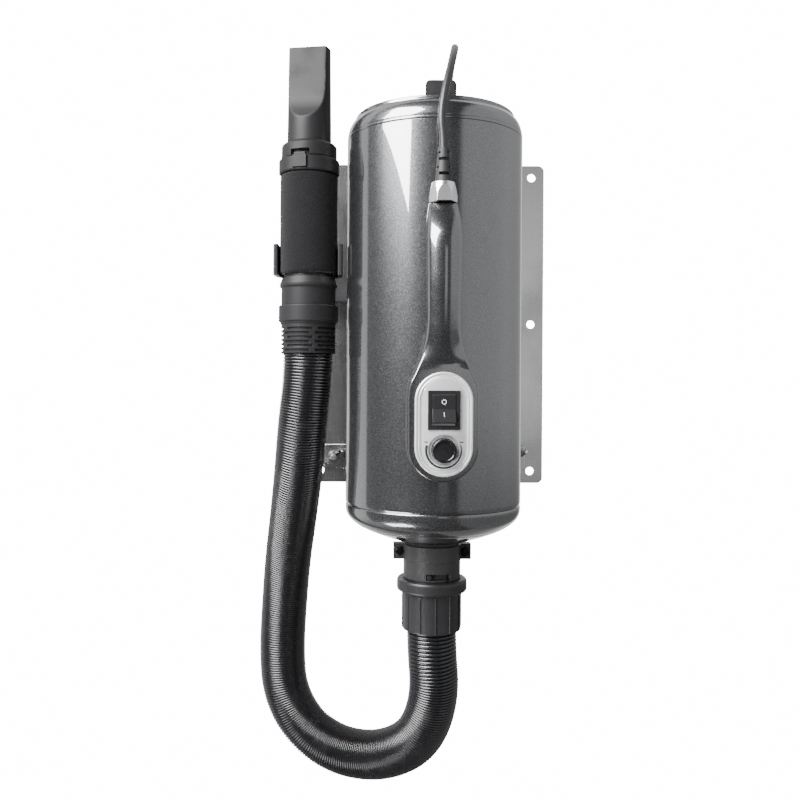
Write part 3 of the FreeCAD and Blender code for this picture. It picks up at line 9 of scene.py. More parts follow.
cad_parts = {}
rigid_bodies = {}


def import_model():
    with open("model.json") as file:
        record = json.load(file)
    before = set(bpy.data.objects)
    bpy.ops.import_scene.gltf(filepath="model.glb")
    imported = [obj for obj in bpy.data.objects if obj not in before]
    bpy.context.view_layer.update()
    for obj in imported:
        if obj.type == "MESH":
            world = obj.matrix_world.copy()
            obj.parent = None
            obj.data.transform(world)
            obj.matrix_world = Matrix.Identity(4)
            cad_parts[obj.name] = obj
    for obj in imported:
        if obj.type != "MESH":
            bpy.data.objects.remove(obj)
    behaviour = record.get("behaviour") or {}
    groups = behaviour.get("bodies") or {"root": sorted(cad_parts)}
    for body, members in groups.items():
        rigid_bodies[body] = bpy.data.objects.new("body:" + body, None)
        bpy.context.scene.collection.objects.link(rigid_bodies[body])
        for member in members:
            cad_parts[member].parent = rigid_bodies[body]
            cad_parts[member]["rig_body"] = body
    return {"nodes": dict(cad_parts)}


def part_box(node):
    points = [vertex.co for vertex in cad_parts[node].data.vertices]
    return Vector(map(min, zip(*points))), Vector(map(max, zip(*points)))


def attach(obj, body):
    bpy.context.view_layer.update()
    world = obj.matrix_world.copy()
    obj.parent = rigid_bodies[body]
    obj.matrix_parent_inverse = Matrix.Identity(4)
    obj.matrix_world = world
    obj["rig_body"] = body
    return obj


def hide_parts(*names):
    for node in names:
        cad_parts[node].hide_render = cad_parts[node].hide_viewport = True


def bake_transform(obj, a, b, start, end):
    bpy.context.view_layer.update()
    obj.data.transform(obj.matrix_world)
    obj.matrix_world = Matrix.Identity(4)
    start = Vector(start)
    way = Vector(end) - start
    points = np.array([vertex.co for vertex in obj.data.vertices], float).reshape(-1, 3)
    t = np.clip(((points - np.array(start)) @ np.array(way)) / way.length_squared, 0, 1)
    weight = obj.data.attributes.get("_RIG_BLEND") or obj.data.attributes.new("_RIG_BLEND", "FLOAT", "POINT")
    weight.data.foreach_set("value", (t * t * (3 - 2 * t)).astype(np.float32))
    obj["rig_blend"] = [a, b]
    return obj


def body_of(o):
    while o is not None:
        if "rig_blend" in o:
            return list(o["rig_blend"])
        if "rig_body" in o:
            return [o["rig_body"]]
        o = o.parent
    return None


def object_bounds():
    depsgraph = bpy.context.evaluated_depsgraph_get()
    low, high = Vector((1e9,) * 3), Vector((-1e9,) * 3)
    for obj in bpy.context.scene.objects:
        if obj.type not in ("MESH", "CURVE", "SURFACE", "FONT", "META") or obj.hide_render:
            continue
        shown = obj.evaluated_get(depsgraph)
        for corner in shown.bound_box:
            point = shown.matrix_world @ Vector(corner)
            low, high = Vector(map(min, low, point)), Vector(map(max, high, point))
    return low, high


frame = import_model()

bl_info = {
    "name": "Wall-mounted pet dryer",
    "version": (1, 0, 0),
    "blender": (4, 5, 0),
    "location": "View3D > Sidebar > Pet dryer",
    "description": "Surfaces, finishes and stage of a canister pet dryer on its wall plate",
    "category": "Object",
}

# Lengths below are in millimetres and become metres in the meshes, +X right, +Y into the wall, +Z up
MM = 0.001
CAD_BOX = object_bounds()


def ends(node):
    """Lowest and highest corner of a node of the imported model."""
    return [np.array(corner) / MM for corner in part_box(node)]


SHELL_LOW, SHELL_HIGH = ends("shell_tube")
SHELL_AXIS = (SHELL_LOW + SHELL_HIGH) / 2
SHELL_R = (SHELL_HIGH - SHELL_LOW)[0] / 2
HANDSET_AXIS = sum(ends("handset_tube")) / 2
KNOB_Z = sum(ends("knob_spindle"))[2] / 2
LATCH_TURN = math.radians(-14.5)


# Outlines and profiles

def eased(corners, reach, closed=True, steps=5):
    """Line through corners with each corner rounded.

    A corner becomes the parabola (1-t)^2 a + 2t(1-t) corner + t^2 b, where a and b lie the reach before and
    after it, but never past the middle of a run.
    """
    p = np.asarray(corners, float)
    size = np.broadcast_to(np.asarray(reach, float), len(p)).copy()
    if not closed:
        size[[0, -1]] = 0.0

    def toward(other):
        away = other - p
        run = np.linalg.norm(away, axis=1)
        share = np.minimum(size, 0.48 * run) / np.maximum(run, 1e-9)
        return p + away * share[:, None]

    t = np.linspace(0, 1, steps)[None, :, None]
    before = toward(np.roll(p, 1, 0))[:, None]
    after = toward(np.roll(p, -1, 0))[:, None]
    line = ((1 - t) ** 2 * before + 2 * t * (1 - t) * p[:, None] + t ** 2 * after).reshape(-1, p.shape[1])
    step = np.linalg.norm(line - np.roll(line, 1, 0), axis=1)
    return line[step > 1e-4]


def through(points, steps=8):
    """Smooth line through points: on each run a cubic whose slope at a point is half the step between its
    neighbours."""
    p = np.asarray(points, float)
    around = np.vstack([2 * p[0] - p[1], p, 2 * p[-1] - p[-2]])
    slope = (around[2:] - around[:-2]) / 2
    t = np.linspace(0, 1, steps, endpoint=False)[None, :, None]
    a, b, slope_a, slope_b = p[:-1, None], p[1:, None], slope[:-1, None], slope[1:, None]
    line = ((2 * t ** 3 - 3 * t ** 2 + 1) * a + (t ** 3 - 2 * t ** 2 + t) * slope_a
            + (3 * t ** 2 - 2 * t ** 3) * b + (t ** 3 - t ** 2) * slope_b)
    return np.vstack([line.reshape(-1, p.shape[1]), p[-1]])


def dense(outline, step):
    """Closed outline with points added so that no run is longer than step."""
    runs = np.roll(outline, -1, 0) - outline
    parts = np.maximum(1, np.ceil(np.linalg.norm(runs, axis=1) / step)).astype(int)
    run = np.repeat(np.arange(len(outline)), parts)
    share = (np.arange(len(run)) - (np.cumsum(parts) - parts)[run]) / parts[run]
    return outline[run] + runs[run] * share[:, None]


def tube_profile(inner, outer, low, high, ease):
    """Section of a round tube whose four edges are rounded."""
    return eased([(inner, low), (outer, low), (outer, high), (inner, high)], ease)


def spokes(angles):
    """Points of the unit circle, (cos a, sin a)."""
    return np.stack([np.cos(angles), np.sin(angles)], -1)


def smooth_step(x, low, high):
    """0 below low, 1 above high and 3t^2 - 2t^3 between."""
    t = np.clip((x - low) / (high - low), 0, 1)
    return t * t * (3 - 2 * t)


# Meshes

def grid(rows, columns, close_rows, close_columns):
    """Quads between neighbouring rows and columns of a grid of points."""
    r, c = np.meshgrid(np.arange(rows - (not close_rows)), np.arange(columns - (not close_columns)),
                       indexing="ij")
    below, beside = (r + 1) % rows, (c + 1) % columns
    corners = [r * columns + c, r * columns + beside, below * columns + beside, below * columns + c]
    return np.stack(corners, -1).reshape(-1, 4)


def settle(obj, finish, body, nodes, sharp):
    """Gives a piece its finish, the nodes that it stands for and its body, where it rides on one alone."""
    obj.data.shade_smooth()
    obj.data.set_sharp_from_angle(angle=math.radians(sharp))
    bpy.context.scene.collection.objects.link(obj)
    obj.data.materials.clear()
    obj.data.materials.append(finished(finish))
    if body:
        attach(obj, body)
    for node in nodes:
        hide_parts(node)
    return obj


def even_shading(obj):
    """Large faces keep their own direction beside small rounded ones."""
    even = obj.modifiers.new("shading", "WEIGHTED_NORMAL")
    even.keep_sharp = True


def piece(name, points, faces, finish, body, *nodes, sharp=38.0, even=True):
    """Piece from a table of points and a list of face tables, closed at its seams and facing outwards."""
    points = np.asarray(points, float).reshape(-1, 3) * MM
    corners = np.concatenate([f.ravel() for f in faces])
    sizes = np.concatenate([np.full(len(f), f.shape[1]) for f in faces])
    mesh = bpy.data.meshes.new(name)
    mesh.vertices.add(len(points))
    mesh.vertices.foreach_set("co", points.ravel())
    mesh.loops.add(len(corners))
    mesh.loops.foreach_set("vertex_index", corners.astype(np.int32))
    mesh.polygons.add(len(sizes))
    mesh.polygons.foreach_set("loop_start", (np.cumsum(sizes) - sizes).astype(np.int32))
    mesh.update(calc_edges=True)
    work = bmesh.new()
    work.from_mesh(mesh)
    bmesh.ops.remove_doubles(work, verts=work.verts, dist=1e-7)
    bmesh.ops.dissolve_degenerate(work, edges=work.edges, dist=1e-8)
    bmesh.ops.recalc_face_normals(work, faces=work.faces)
    work.to_mesh(mesh)
    work.free()
    obj = settle(bpy.data.objects.new(name, mesh), finish, body, nodes, sharp)
    if even:
        even_shading(obj)
    return obj


def turned(name, profile, axis, finish, body, *nodes, around=96, ripple=None, to_front=False, **more):
    """Closed profile of radius and height carried round an axis: (r + ripple) (cos a, sin a), height.

    ripple is a function of angle, radius and height. The axis is vertical, or points to the front.
    """
    a = np.linspace(0, 2 * math.pi, around, endpoint=False)[:, None]
    r, h = profile[None, :, 0], profile[None, :, 1]
    wide = r + (ripple(a, r, h) if ripple else 0.0)
    u, v, h = wide * np.cos(a), wide * np.sin(a), np.broadcast_to(h, (around, len(profile)))
    if to_front:
        points = np.stack([axis[0] + u, h, axis[2] + v], -1)
    else:
        points = np.stack([axis[0] + u, axis[1] + v, h], -1)
    return piece(name, points, [grid(around, len(profile), True, True)], finish, body, *nodes, **more)


def layered(name, rows, finish, body, *nodes, loop=False, **more):
    """Rows of points, each a closed ring, joined in order; the first and last are filled unless they meet."""
    rows = np.asarray(rows, float)
    count, around = rows.shape[:2]
    faces = [grid(count, around, loop, True)]
    if not loop:
        first = np.arange(around)[None]
        faces += [first, first + (count - 1) * around]
    return piece(name, rows, faces, finish, body, *nodes, **more)


EDGE_ANGLE = 32.0


def rounded_copy(node, finish=None, width=0.5):
    """Copy of a node with its loose triangles joined, its flat faces whole and its edges rounded."""
    source = frame["nodes"][node]
    mesh = source.data.copy()
    work = bmesh.new()
    work.from_mesh(mesh)
    bmesh.ops.remove_doubles(work, verts=work.verts, dist=1e-6)
    bmesh.ops.dissolve_limit(work, angle_limit=math.radians(0.6), verts=work.verts, edges=work.edges)
    work.to_mesh(mesh)
    work.free()
    finish = finish or source.data.materials[0].name
    copy = bpy.data.objects.new(node + "_shaped", mesh)
    obj = settle(copy, finish, body_of(source)[0], [node], EDGE_ANGLE)
    bevel = obj.modifiers.new("edges", "BEVEL")
    bevel.width = width * MM
    bevel.segments = 2
    bevel.limit_method = "ANGLE"
    bevel.angle_limit = math.radians(EDGE_ANGLE)
    even_shading(obj)
    return obj


def rounded_copies(**widths):
    """Rounded copies of several nodes, each with its own width of edge."""
    for node, width in widths.items():
        rounded_copy(node, width=width)


# Shader maths

class Wire:
    """An output of a node; arithmetic on it adds Math nodes."""

    def __init__(self, finish, socket):
        self.finish = finish
        self.socket = socket

    def math(self, operation, first, second):
        return self.finish.node("ShaderNodeMath", {"operation": operation}, {0: first, 1: second})

    def __add__(self, other):
        return self.math("ADD", self, other)

    def __rsub__(self, other):
        return self.math("SUBTRACT", other, self)

    def __mul__(self, other):
        return self.math("MULTIPLY", self, other)

    __radd__ = __add__
    __rmul__ = __mul__


class Nodes:
    """A node tree with one shader at its end."""

    def __init__(self, tree, shader):
        self.tree = tree
        self.shader = tree.nodes[shader]

    def node(self, kind, settings, inputs, output=0):
        """Adds a node: first its settings, then the values or wires of its sockets."""
        made = self.tree.nodes.new(kind)
        for key, value in settings.items():
            setattr(made, key, value)
        for key, value in inputs.items():
            self.feed(made.inputs[key], value)
        return Wire(self, made.outputs[output])

    def feed(self, socket, value):
        """Links a wire to a socket, or sets the socket's own value."""
        if isinstance(value, Wire):
            self.tree.links.new(value.socket, socket)
        else:
            socket.default_value = value

    def set(self, socket, value):
        self.feed(self.shader.inputs[socket], value)

    def between(self, value, low, high):
        """0 below low and 1 above high."""
        return self.node("ShaderNodeMapRange", {"interpolation_type": "SMOOTHSTEP"},
                         {"Value": value, "From Min": low, "From Max": high})

    def mix(self, amount, first, second):
        """Colour between two: sockets 0, 6 and 7 take the amount and the colours, output 2 gives the mix."""
        return self.node("ShaderNodeMix", {"data_type": "RGBA"}, {0: amount, 6: first, 7: second}, 2)


class Finish(Nodes):
    """A material with one Principled shader; fixed values are set on the shader's own sockets."""

    def __init__(self, name, **fixed):
        self.material = bpy.data.materials.new(name + "_finish")
        self.material.use_nodes = True
        super().__init__(self.material.node_tree, "Principled BSDF")
        for socket, value in fixed.items():
            self.shader.inputs[socket.replace("_", " ").title().replace("Ior", "IOR")].default_value = value
        self.place = self.node("ShaderNodeTexCoord", {}, {}, "Object")

    def noise(self, scale, detail=3.0, stretch=(1, 1, 1)):
        """Cloudy value about 0.5; scale counts blotches per metre."""
        place = self.node("ShaderNodeMapping", {}, {"Vector": self.place, "Scale": stretch})
        return self.node("ShaderNodeTexNoise", {}, {"Vector": place, "Scale": scale, "Detail": detail})

    def bump(self, height, depth, strength):
        """Relief of the given depth in metres."""
        self.set("Normal", self.node("ShaderNodeBump", {},
                                     {"Height": height, "Distance": depth, "Strength": strength}))


def shade(colour, times=1.0):
    """The colour, lightened or darkened, as four numbers."""
    return (*(min(1.0, c * times) for c in tuple(colour)[:3]), 1.0)


def look():
    """Colours from the panel."""
    return bpy.context.scene.dryer_look


def flake_paint(name, times=1.0):
    """Dark metallic paint: light flakes under a clear coat, and a trace of dust."""
    paint = Finish(name, metallic=0.94, coat_roughness=0.02, coat_ior=2.1)
    flakes = paint.node("ShaderNodeTexVoronoi", {"feature": "F1"}, {"Vector": paint.place, "Scale": 2200.0},
                        "Color")
    spark = paint.node("ShaderNodeSeparateColor", {}, {0: flakes}, 0)
    cloud = paint.noise(9.0)
    dust = paint.between(paint.noise(55.0, 6.0), 0.55, 0.85)
    lit = paint.between(spark, 0.5, 1.0)
    base = paint.mix(lit, shade(look().paint, 0.8 * times), shade(look().paint, 1.7 * times))
    paint.set("Base Color", paint.mix(cloud * 0.2, base, shade(look().paint, 1.2 * times)))
    paint.set("Roughness", 0.27 + dust * 0.06 + spark * 0.06)
    paint.set("Coat Weight", 1.0 - dust * 0.1)
    return paint


def brushed(name, colour, roughness, stretch):
    """Metal with fine lines along one direction, and faint smudges."""
    metal = Finish(name, metallic=1.0)
    lines = metal.noise(60.0, 8.0, stretch)
    smudge = metal.between(metal.noise(14.0, 4.0), 0.45, 0.75)
    metal.set("Base Color", metal.mix(lines, shade(colour, 0.82), shade(colour, 1.12)))
    metal.set("Roughness", lines * 0.14 + smudge * 0.07 + (roughness - 0.07))
    metal.bump(lines, 0.00003, 0.35)
    return metal


def bright(name, colour, roughness):
    """Plated metal with a slight waviness and wipe marks."""
    metal = Finish(name, metallic=1.0)
    wipe = metal.between(metal.noise(30.0, 6.0, (1, 1, 3)), 0.4, 0.8)
    metal.set("Base Color", metal.mix(wipe * 0.4, shade(colour), shade(colour, 0.86)))
    metal.set("Roughness", wipe * 0.04 + roughness)
    metal.bump(metal.noise(120.0, 2.0), 0.00003, 0.3)
    return metal


def plastic(name, colour, roughness, grain=900.0, depth=0.00004, coat=0.0, dust=0.5, gloss=0.45):
    """Moulded plastic: a fine spark-worn grain, slight clouding, and dust where it settles."""
    made = Finish(name, specular_ior_level=gloss, coat_roughness=0.08)
    skin = made.noise(grain, 3.0)
    worn = made.between(made.noise(38.0, 5.0), 0.5, 0.78)
    made.set("Base Color", made.mix(worn * (0.35 * dust), shade(colour), shade(colour, 1.9)))
    made.set("Roughness", worn * 0.12 + skin * 0.08 + (roughness - 0.05))
    made.set("Coat Weight", coat)
    made.bump(skin, depth, 0.5)
    return made


def silvered(name, colour):
    """Silver-painted plastic: mostly metallic, satin, under a thin clear coat."""
    made = Finish(name, metallic=0.85, coat_roughness=0.06)
    wipe = made.between(made.noise(60.0, 5.0), 0.45, 0.8)
    grain = made.noise(1500.0, 2.0)
    made.set("Base Color", made.mix(wipe * 0.5, shade(colour), shade(colour, 0.93)))
    made.set("Roughness", grain * 0.08 + wipe * 0.05 + 0.38)
    made.set("Coat Weight", 0.3)
    made.bump(grain, 0.00001, 0.4)
    return made


def foam(name, colour, cell, depth):
    """Open foam: pores of one size, coloured darker as painted shade in their hollows, with a paler skin
    between them.
    """
    made = Finish(name, specular_ior_level=0.15, sheen_weight=0.05)
    cells = made.node("ShaderNodeTexVoronoi", {"feature": "F1"}, {"Vector": made.place, "Scale": cell})
    shaded_pores = made.between(cells, 0.1, 0.55)
    blotch = made.noise(45.0, 4.0)
    # Painted shade: the pore mask darkens the colour inside each pore, where shade would fall, and also dents
    # the surface
    made.set("Base Color", made.mix(shaded_pores, shade(colour, 0.35), shade(colour, 1.25)))
    made.set("Roughness", 0.8 + blotch * 0.25)
    made.bump(shaded_pores + blotch * 1.5, depth, 0.9)
    return made


def rubber(name, colour, roughness=0.6):
    """Soft moulding: a coarser grain, and more dust."""
    return plastic(name, colour, roughness, 500.0, 0.00006, dust=1.0)


def wound_core(name):
    """Stacked steel sheets: fine bands up the axis."""
    core = Finish(name, metallic=0.9)
    height = core.node("ShaderNodeSeparateXYZ", {}, {0: core.place}, 2)
    bands = core.node("ShaderNodeMath", {"operation": "PINGPONG"}, {0: height, 1: 0.00035}) * 2800.0
    core.set("Base Color", core.mix(bands, (0.12, 0.115, 0.11, 1), (0.36, 0.35, 0.34, 1)))
    core.set("Roughness", bands * 0.2 + 0.35)
    return core


FINISHES = {
    "shell_paint": lambda name: flake_paint(name),
    "stainless_plate": lambda name: brushed(name, look().plate, 0.22, (60, 1, 0.7)),
    "zinc_steel": lambda name: brushed(name, (0.42, 0.43, 0.44), 0.4, (2, 2, 2)),
    "wing_steel": lambda name: bright(name, (0.72, 0.72, 0.71), 0.16),
    "dark_bracket": lambda name: plastic(name, (0.021, 0.021, 0.022), 0.42, 1400.0),
    "bright_dome": lambda name: bright(name, (0.62, 0.62, 0.62), 0.12),
    "black_plastic": lambda name: plastic(name, look().moulding, 0.4),
    "nozzle_plastic": lambda name: plastic(name, look().moulding, 0.52, gloss=0.2),
    "collar_plastic": lambda name: plastic(name, (0.0115, 0.0115, 0.012), 0.4),
    "hose_plastic": lambda name: plastic(name, look().hose, 0.24, 700.0, dust=0.8, gloss=0.6),
    "grip_foam": lambda name: foam(name, (0.0026, 0.0026, 0.003), 900.0, 0.0003),
    "handle_plastic": lambda name: flake_paint(name, look().handle),
    "bezel_silver": lambda name: silvered(name, look().bezel),
    "switch_plastic": lambda name: plastic(name, (0.0055, 0.0055, 0.006), 0.4, gloss=0.3),
    "knob_plastic": lambda name: plastic(name, (0.0025, 0.0025, 0.003), 0.22, gloss=0.5),
    "black_rubber": lambda name: rubber(name, (0.009, 0.009, 0.0095)),
    "cord_pvc": lambda name: rubber(name, look().cord, 0.38),
    "chrome_gland": lambda name: bright(name, (0.86, 0.86, 0.87), 0.27),
    "screw_steel": lambda name: bright(name, (0.035, 0.035, 0.037), 0.35),
    "filter_foam": lambda name: foam(name, (0.03, 0.03, 0.032), 420.0, 0.0008),
    "liner_foam": lambda name: foam(name, (0.09, 0.09, 0.095), 380.0, 0.001),
    "motor_steel": lambda name: brushed(name, (0.5, 0.5, 0.5), 0.35, (1, 1, 30)),
    "motor_core": wound_core,
    "fan_aluminium": lambda name: brushed(name, (0.66, 0.67, 0.68), 0.36, (4, 4, 4)),
    "heat_board": lambda name: plastic(name, (0.62, 0.55, 0.42), 0.75, 300.0, 0.0001, dust=0.3),
    "heat_wire": lambda name: brushed(name, (0.4, 0.36, 0.33), 0.4, (1, 1, 40)),
    "board_green": lambda name: plastic(name, (0.02, 0.12, 0.05), 0.35, 500.0, coat=0.4),
    "mark_white": lambda name: plastic(name, (0.75, 0.75, 0.73), 0.5, dust=0.0),
    "mark_dark": lambda name: plastic(name, (0.006, 0.006, 0.0065), 0.5, dust=0.0),
}
MADE = {}


def finished(name):
    """The material of a finish, made when it is first asked for."""
    if name not in MADE:
        MADE[name] = FINISHES[name](name).material
    return MADE[name]


# Sizes and colours that can be changed

def colour(name, description, default):
    return bpy.props.FloatVectorProperty(name=name, description=description, default=default, size=3,
                                         subtype="COLOR", min=0.0, max=1.0)


def length(name, description, default):
    return bpy.props.FloatProperty(name=name, description=description, default=default * MM,
                                   subtype="DISTANCE", unit="LENGTH", min=0.0)


def factor(name, description, default):
    return bpy.props.FloatProperty(name=name, description=description, default=default, min=0.0)


def count(name, description, default, least):
    return bpy.props.IntProperty(name=name, description=description, default=default, min=least)


class DryerLook(bpy.types.PropertyGroup):
    paint: colour("Shell paint", "Colour under the clear coat of the canister", (0.085, 0.086, 0.09))
    plate: colour("Wall plate", "Colour of the brushed wall plate", (0.72, 0.72, 0.71))
    moulding: colour("Black mouldings", "Colour of cuffs, ring and nozzle", (0.0065, 0.0065, 0.007))
    hose: colour("Hose", "Colour of the ribbed hose", (0.0035, 0.0035, 0.004))
    handle: factor("Handle", "Handle paint beside the shell's", 0.8)
    bezel: colour("Bezel", "Colour of the control panel", (0.78, 0.785, 0.8))
    cord: colour("Cord", "Colour of the power cord", (0.012, 0.012, 0.0125))


class DryerHose(bpy.types.PropertyGroup):
    ribs: count("Ribs", "Ribs between the two cuffs", 268, 40)
    radius: length("Radius", "Outer radius over the ribs", 22.75)
    groove: length("Groove", "Depth between two ribs", 1.6)
    bore: length("Bore", "Inner radius", 19.6)


class DryerCuff(bpy.types.PropertyGroup):
    rows: count("Slot rows", "Rows of slots in the sleeve", 6, 1)
    pitch: length("Row pitch", "Distance between two rows of slots", 3.9)
    depth: length("Slot depth", "Depth of a slot in the sleeve's wall", 1.8)
    flutes: count("Flutes", "Ridges of the lower cuff", 12, 3)


class DryerPanel(bpy.types.PropertyGroup):
    rounding: length("Handle rounding", "Radius of the handle's front edges", 4.0)
    grips: count("Knob grips", "Grooves round the knob", 32, 6)
    mark: length("Mark", "Height of the printed marks", 0.08)


class DryerStage(bpy.types.PropertyGroup):
    floor: colour("Floor", "Colour of the floor", (0.86, 0.86, 0.86))
    seen: factor("Backdrop", "Brightness that shows", 16.0)
    back: factor("Back", "Light from behind", 1.2)
    front: factor("Front", "Light from the front", 0.08)
    left: factor("Left", "Light from the left", 0.06)
    right: factor("Right", "Light from the right", 0.8)
    near: factor("Near", "Light just right of the camera", 0.95)
    drop: length("Drop", "Gap between the object and the floor", 320.0)
    reach: length("Reach", "Radius of the floor", 380.0)


SETTINGS = {
    "dryer_look": DryerLook,
    "dryer_hose": DryerHose,
    "dryer_cuff": DryerCuff,
    "dryer_panel": DryerPanel,
    "dryer_stage": DryerStage,
}


# Cords

# Points that the hose and the cord pass by, in metres
HOSE_ROUTE = [
    (0.0, -0.102, -0.2748), (0.0, -0.102, -0.304), (0.004, -0.099, -0.346), (-0.004, -0.089, -0.384),
    (-0.021, -0.075, -0.409), (-0.052, -0.057, -0.426), (-0.09, -0.041, -0.426), (-0.123, -0.031, -0.406),
    (-0.142, -0.027, -0.372), (-0.145, -0.0265, -0.33), (-0.1425, -0.029, -0.284), (-0.1385, -0.04, -0.238),
    (-0.1315, -0.062, -0.193), (-0.125, -0.086, -0.148), (-0.1205, -0.1, -0.1), (-0.1153, -0.102, -0.054),
    (-0.1153, -0.102, -0.023),
]
CORD_ROUTE = [
    (0.0, -0.1975, 0.129), (0.0, -0.1975, 0.137), (-0.0022, -0.1975, 0.155), (0.0006, -0.194, 0.176),
    (0.0062, -0.185, 0.198), (0.0115, -0.166, 0.221), (0.015, -0.136, 0.236), (0.016, -0.101, 0.237),
    (0.016, -0.067, 0.225), (0.018, -0.04, 0.201), (0.025, -0.022, 0.176), (0.037, -0.01485, 0.152),
    (0.0495, -0.01485, 0.128),
]
# From the coil's end down to the plug
PLUG_STEPS = [(0, 0, -0.016), (0, -0.005, -0.04), (0, -0.005, -0.058)]
CORD_R = 3.25
COIL_CENTRE_Z = 95.0
COIL_R = 49.5
COIL_HALF_TURNS = 16
COIL_POINTS = 9
COIL_STEP = 3.55
COIL_CLIMB_IN = 1.0
COIL_FRONT_Y = -14.85
COIL_BACK_Y = -7.75

# The hose follows the outlet at first and the handset's cuff at last, and passes from one to the other
# between two distances along a line from the outlet's end
OUTLET_END = np.array([0.0, 0.0, -0.275])
TO_HANDSET = np.array([-0.866, 0.0, 0.5])
BEND_FROM, BEND_TO = 0.026, 0.19


def coil_points():
    """Control points of the put-away cord, in metres.

    After h half turns the radius is r = R - step min(h, 7) + step max(0, h - 8), a little less at the climb
    from the front layer to the back one between h = 7 and 8, and the point is (r cos, y, r sin) of -pi h.
    The points, n to each half turn, stand off by 1 / cos(pi / 2 n), because the spline runs inside them.
    """
    half = np.arange(COIL_HALF_TURNS * COIL_POINTS + 1) / COIL_POINTS
    climb = COIL_HALF_TURNS / 2 - 1
    r = COIL_R - COIL_STEP * (np.minimum(half, climb) - np.maximum(0, half - climb - 1))
    r -= COIL_CLIMB_IN * np.interp(half, [climb - 1, climb, climb + 1, climb + 2], [0, 1, 1, 0])
    y = COIL_FRONT_Y + (COIL_BACK_Y - COIL_FRONT_Y) * smooth_step(half, climb, climb + 1)
    stand_off = 1 / math.cos(math.pi / COIL_POINTS / 2)
    angle = -math.pi * half
    x, z = r * stand_off * np.cos(angle), COIL_CENTRE_Z + r * stand_off * np.sin(angle)
    return np.stack([x, y, z], 1) * MM


def spline(name, points, radius=0.0):
    """Curve of one smooth open spline with the given control points."""
    curve = bpy.data.curves.new(name, "CURVE")
    curve.dimensions = "3D"
    curve.resolution_u = 12
    line = curve.splines.new("NURBS")
    line.points.add(len(points) - 1)
    flat = np.concatenate([np.asarray(points, float), np.ones((len(points), 1))], 1)
    line.points.foreach_set("co", flat.ravel())
    line.order_u = 3
    line.use_endpoint_u = True
    curve.bevel_depth = radius
    curve.bevel_resolution = 5
    curve.use_fill_caps = True
    return bpy.data.objects.new(name, curve)


def spline_points(obj):
    """Points of the smooth line itself."""
    mesh = bpy.data.meshes.new_from_object(obj)
    flat = np.empty(len(mesh.vertices) * 3, np.float32)
    mesh.vertices.foreach_get("co", flat)
    bpy.data.meshes.remove(mesh)
    bpy.data.objects.remove(obj)
    return flat.reshape(-1, 3).astype(float)


def line_length(points):
    """Length of a line through points."""
    return float(np.linalg.norm(np.diff(points, axis=0), axis=1).sum())


def swept(path, at, radius, around):
    """Rings of a tube: centre + radius (cos a side + sin a steady), where steady is the wall's direction made
    square to the path and side is square to both. at holds the distance along the path of each ring."""
    run = np.concatenate([[0], np.cumsum(np.linalg.norm(np.diff(path, axis=0), axis=1))])
    way = np.gradient(path, run, axis=0)
    centre = np.stack([np.interp(at, run, path[:, i]) for i in range(3)], 1)
    way = np.stack([np.interp(at, run, way[:, i]) for i in range(3)], 1)
    way /= np.linalg.norm(way, axis=1, keepdims=True)
    steady = np.array([0.0, 1.0, 0.0]) - way * way[:, 1:2]
    steady /= np.linalg.norm(steady, axis=1, keepdims=True)
    side = np.cross(way, steady)
    a = np.linspace(0, 2 * math.pi, around, endpoint=False)[None, :, None]
    ring = np.cos(a) * side[:, None] + np.sin(a) * steady[:, None]
    return centre[:, None] + radius[:, None, None] * ring


class DRYER_OT_cords(bpy.types.Operator):
    """Power cord from the strain relief over the canister to its coil, and the stretch hose"""
    bl_idname = "dryer.cords"
    bl_label = "Cord and hose"

    def execute(self, context):
        coil = coil_points()
        route = np.vstack([CORD_ROUTE, coil, coil[-1] + np.array(PLUG_STEPS)])
        cord = spline("power_cord_line", route, CORD_R * MM)
        cord_path = spline_points(spline("cord_path", route))
        context.scene.collection.objects.link(cord)
        cord.data.materials.append(finished("cord_pvc"))
        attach(cord, "root")
        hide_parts("power_cord", "cord_coil", "plug_cord")
        plug = rounded_copy("plug", width=0.6)
        rounded_copy("cord_tie", width=0.4)
        self.hose(context.scene.dryer_hose)
        return {"FINISHED"}

    def hose(self, size):
        """Ribbed tube: over one rib the radius is R - groove (1 - sin(pi p))^1.6 for p from 0 to 1. The ribs
        are drawn apart towards both ends."""
        path = spline_points(spline("hose_path", HOSE_ROUTE))
        total = line_length(path)
        share = np.linspace(0, 1, 400)
        apart = np.interp(share, [0.0, 0.06, 0.1, 0.92, 0.97], [1.5, 1.5, 1.0, 1.0, 1.25])
        count = np.cumsum(1 / apart) - 1 / apart[0]
        phase = np.array([0.0, 0.14, 0.32, 0.5, 0.68, 0.86])
        rib = np.arange(size.ribs)[:, None]
        at = np.append(((rib + phase) / size.ribs).ravel(), 1.0)
        at = np.interp(at, count / count[-1], share) * total
        dip = (1 - np.sin(math.pi * phase)) ** 1.6
        radius = np.append(np.tile(size.radius - size.groove * dip, size.ribs), size.radius - size.groove)
        back = np.linspace(1.0, 0.0, size.ribs)
        at = np.concatenate([at, back * total])
        radius = np.concatenate([radius, np.full(size.ribs, size.bore)])
        rings = swept(path, at, radius, 48) / MM
        hose = layered("ribbed_hose", rings, "hose_plastic", None, "hose", loop=True, even=False, sharp=70.0)
        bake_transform(hose, "root", "hose_cuff", OUTLET_END + BEND_FROM * TO_HANDSET,
                 OUTLET_END + BEND_TO * TO_HANDSET)


# Pieces

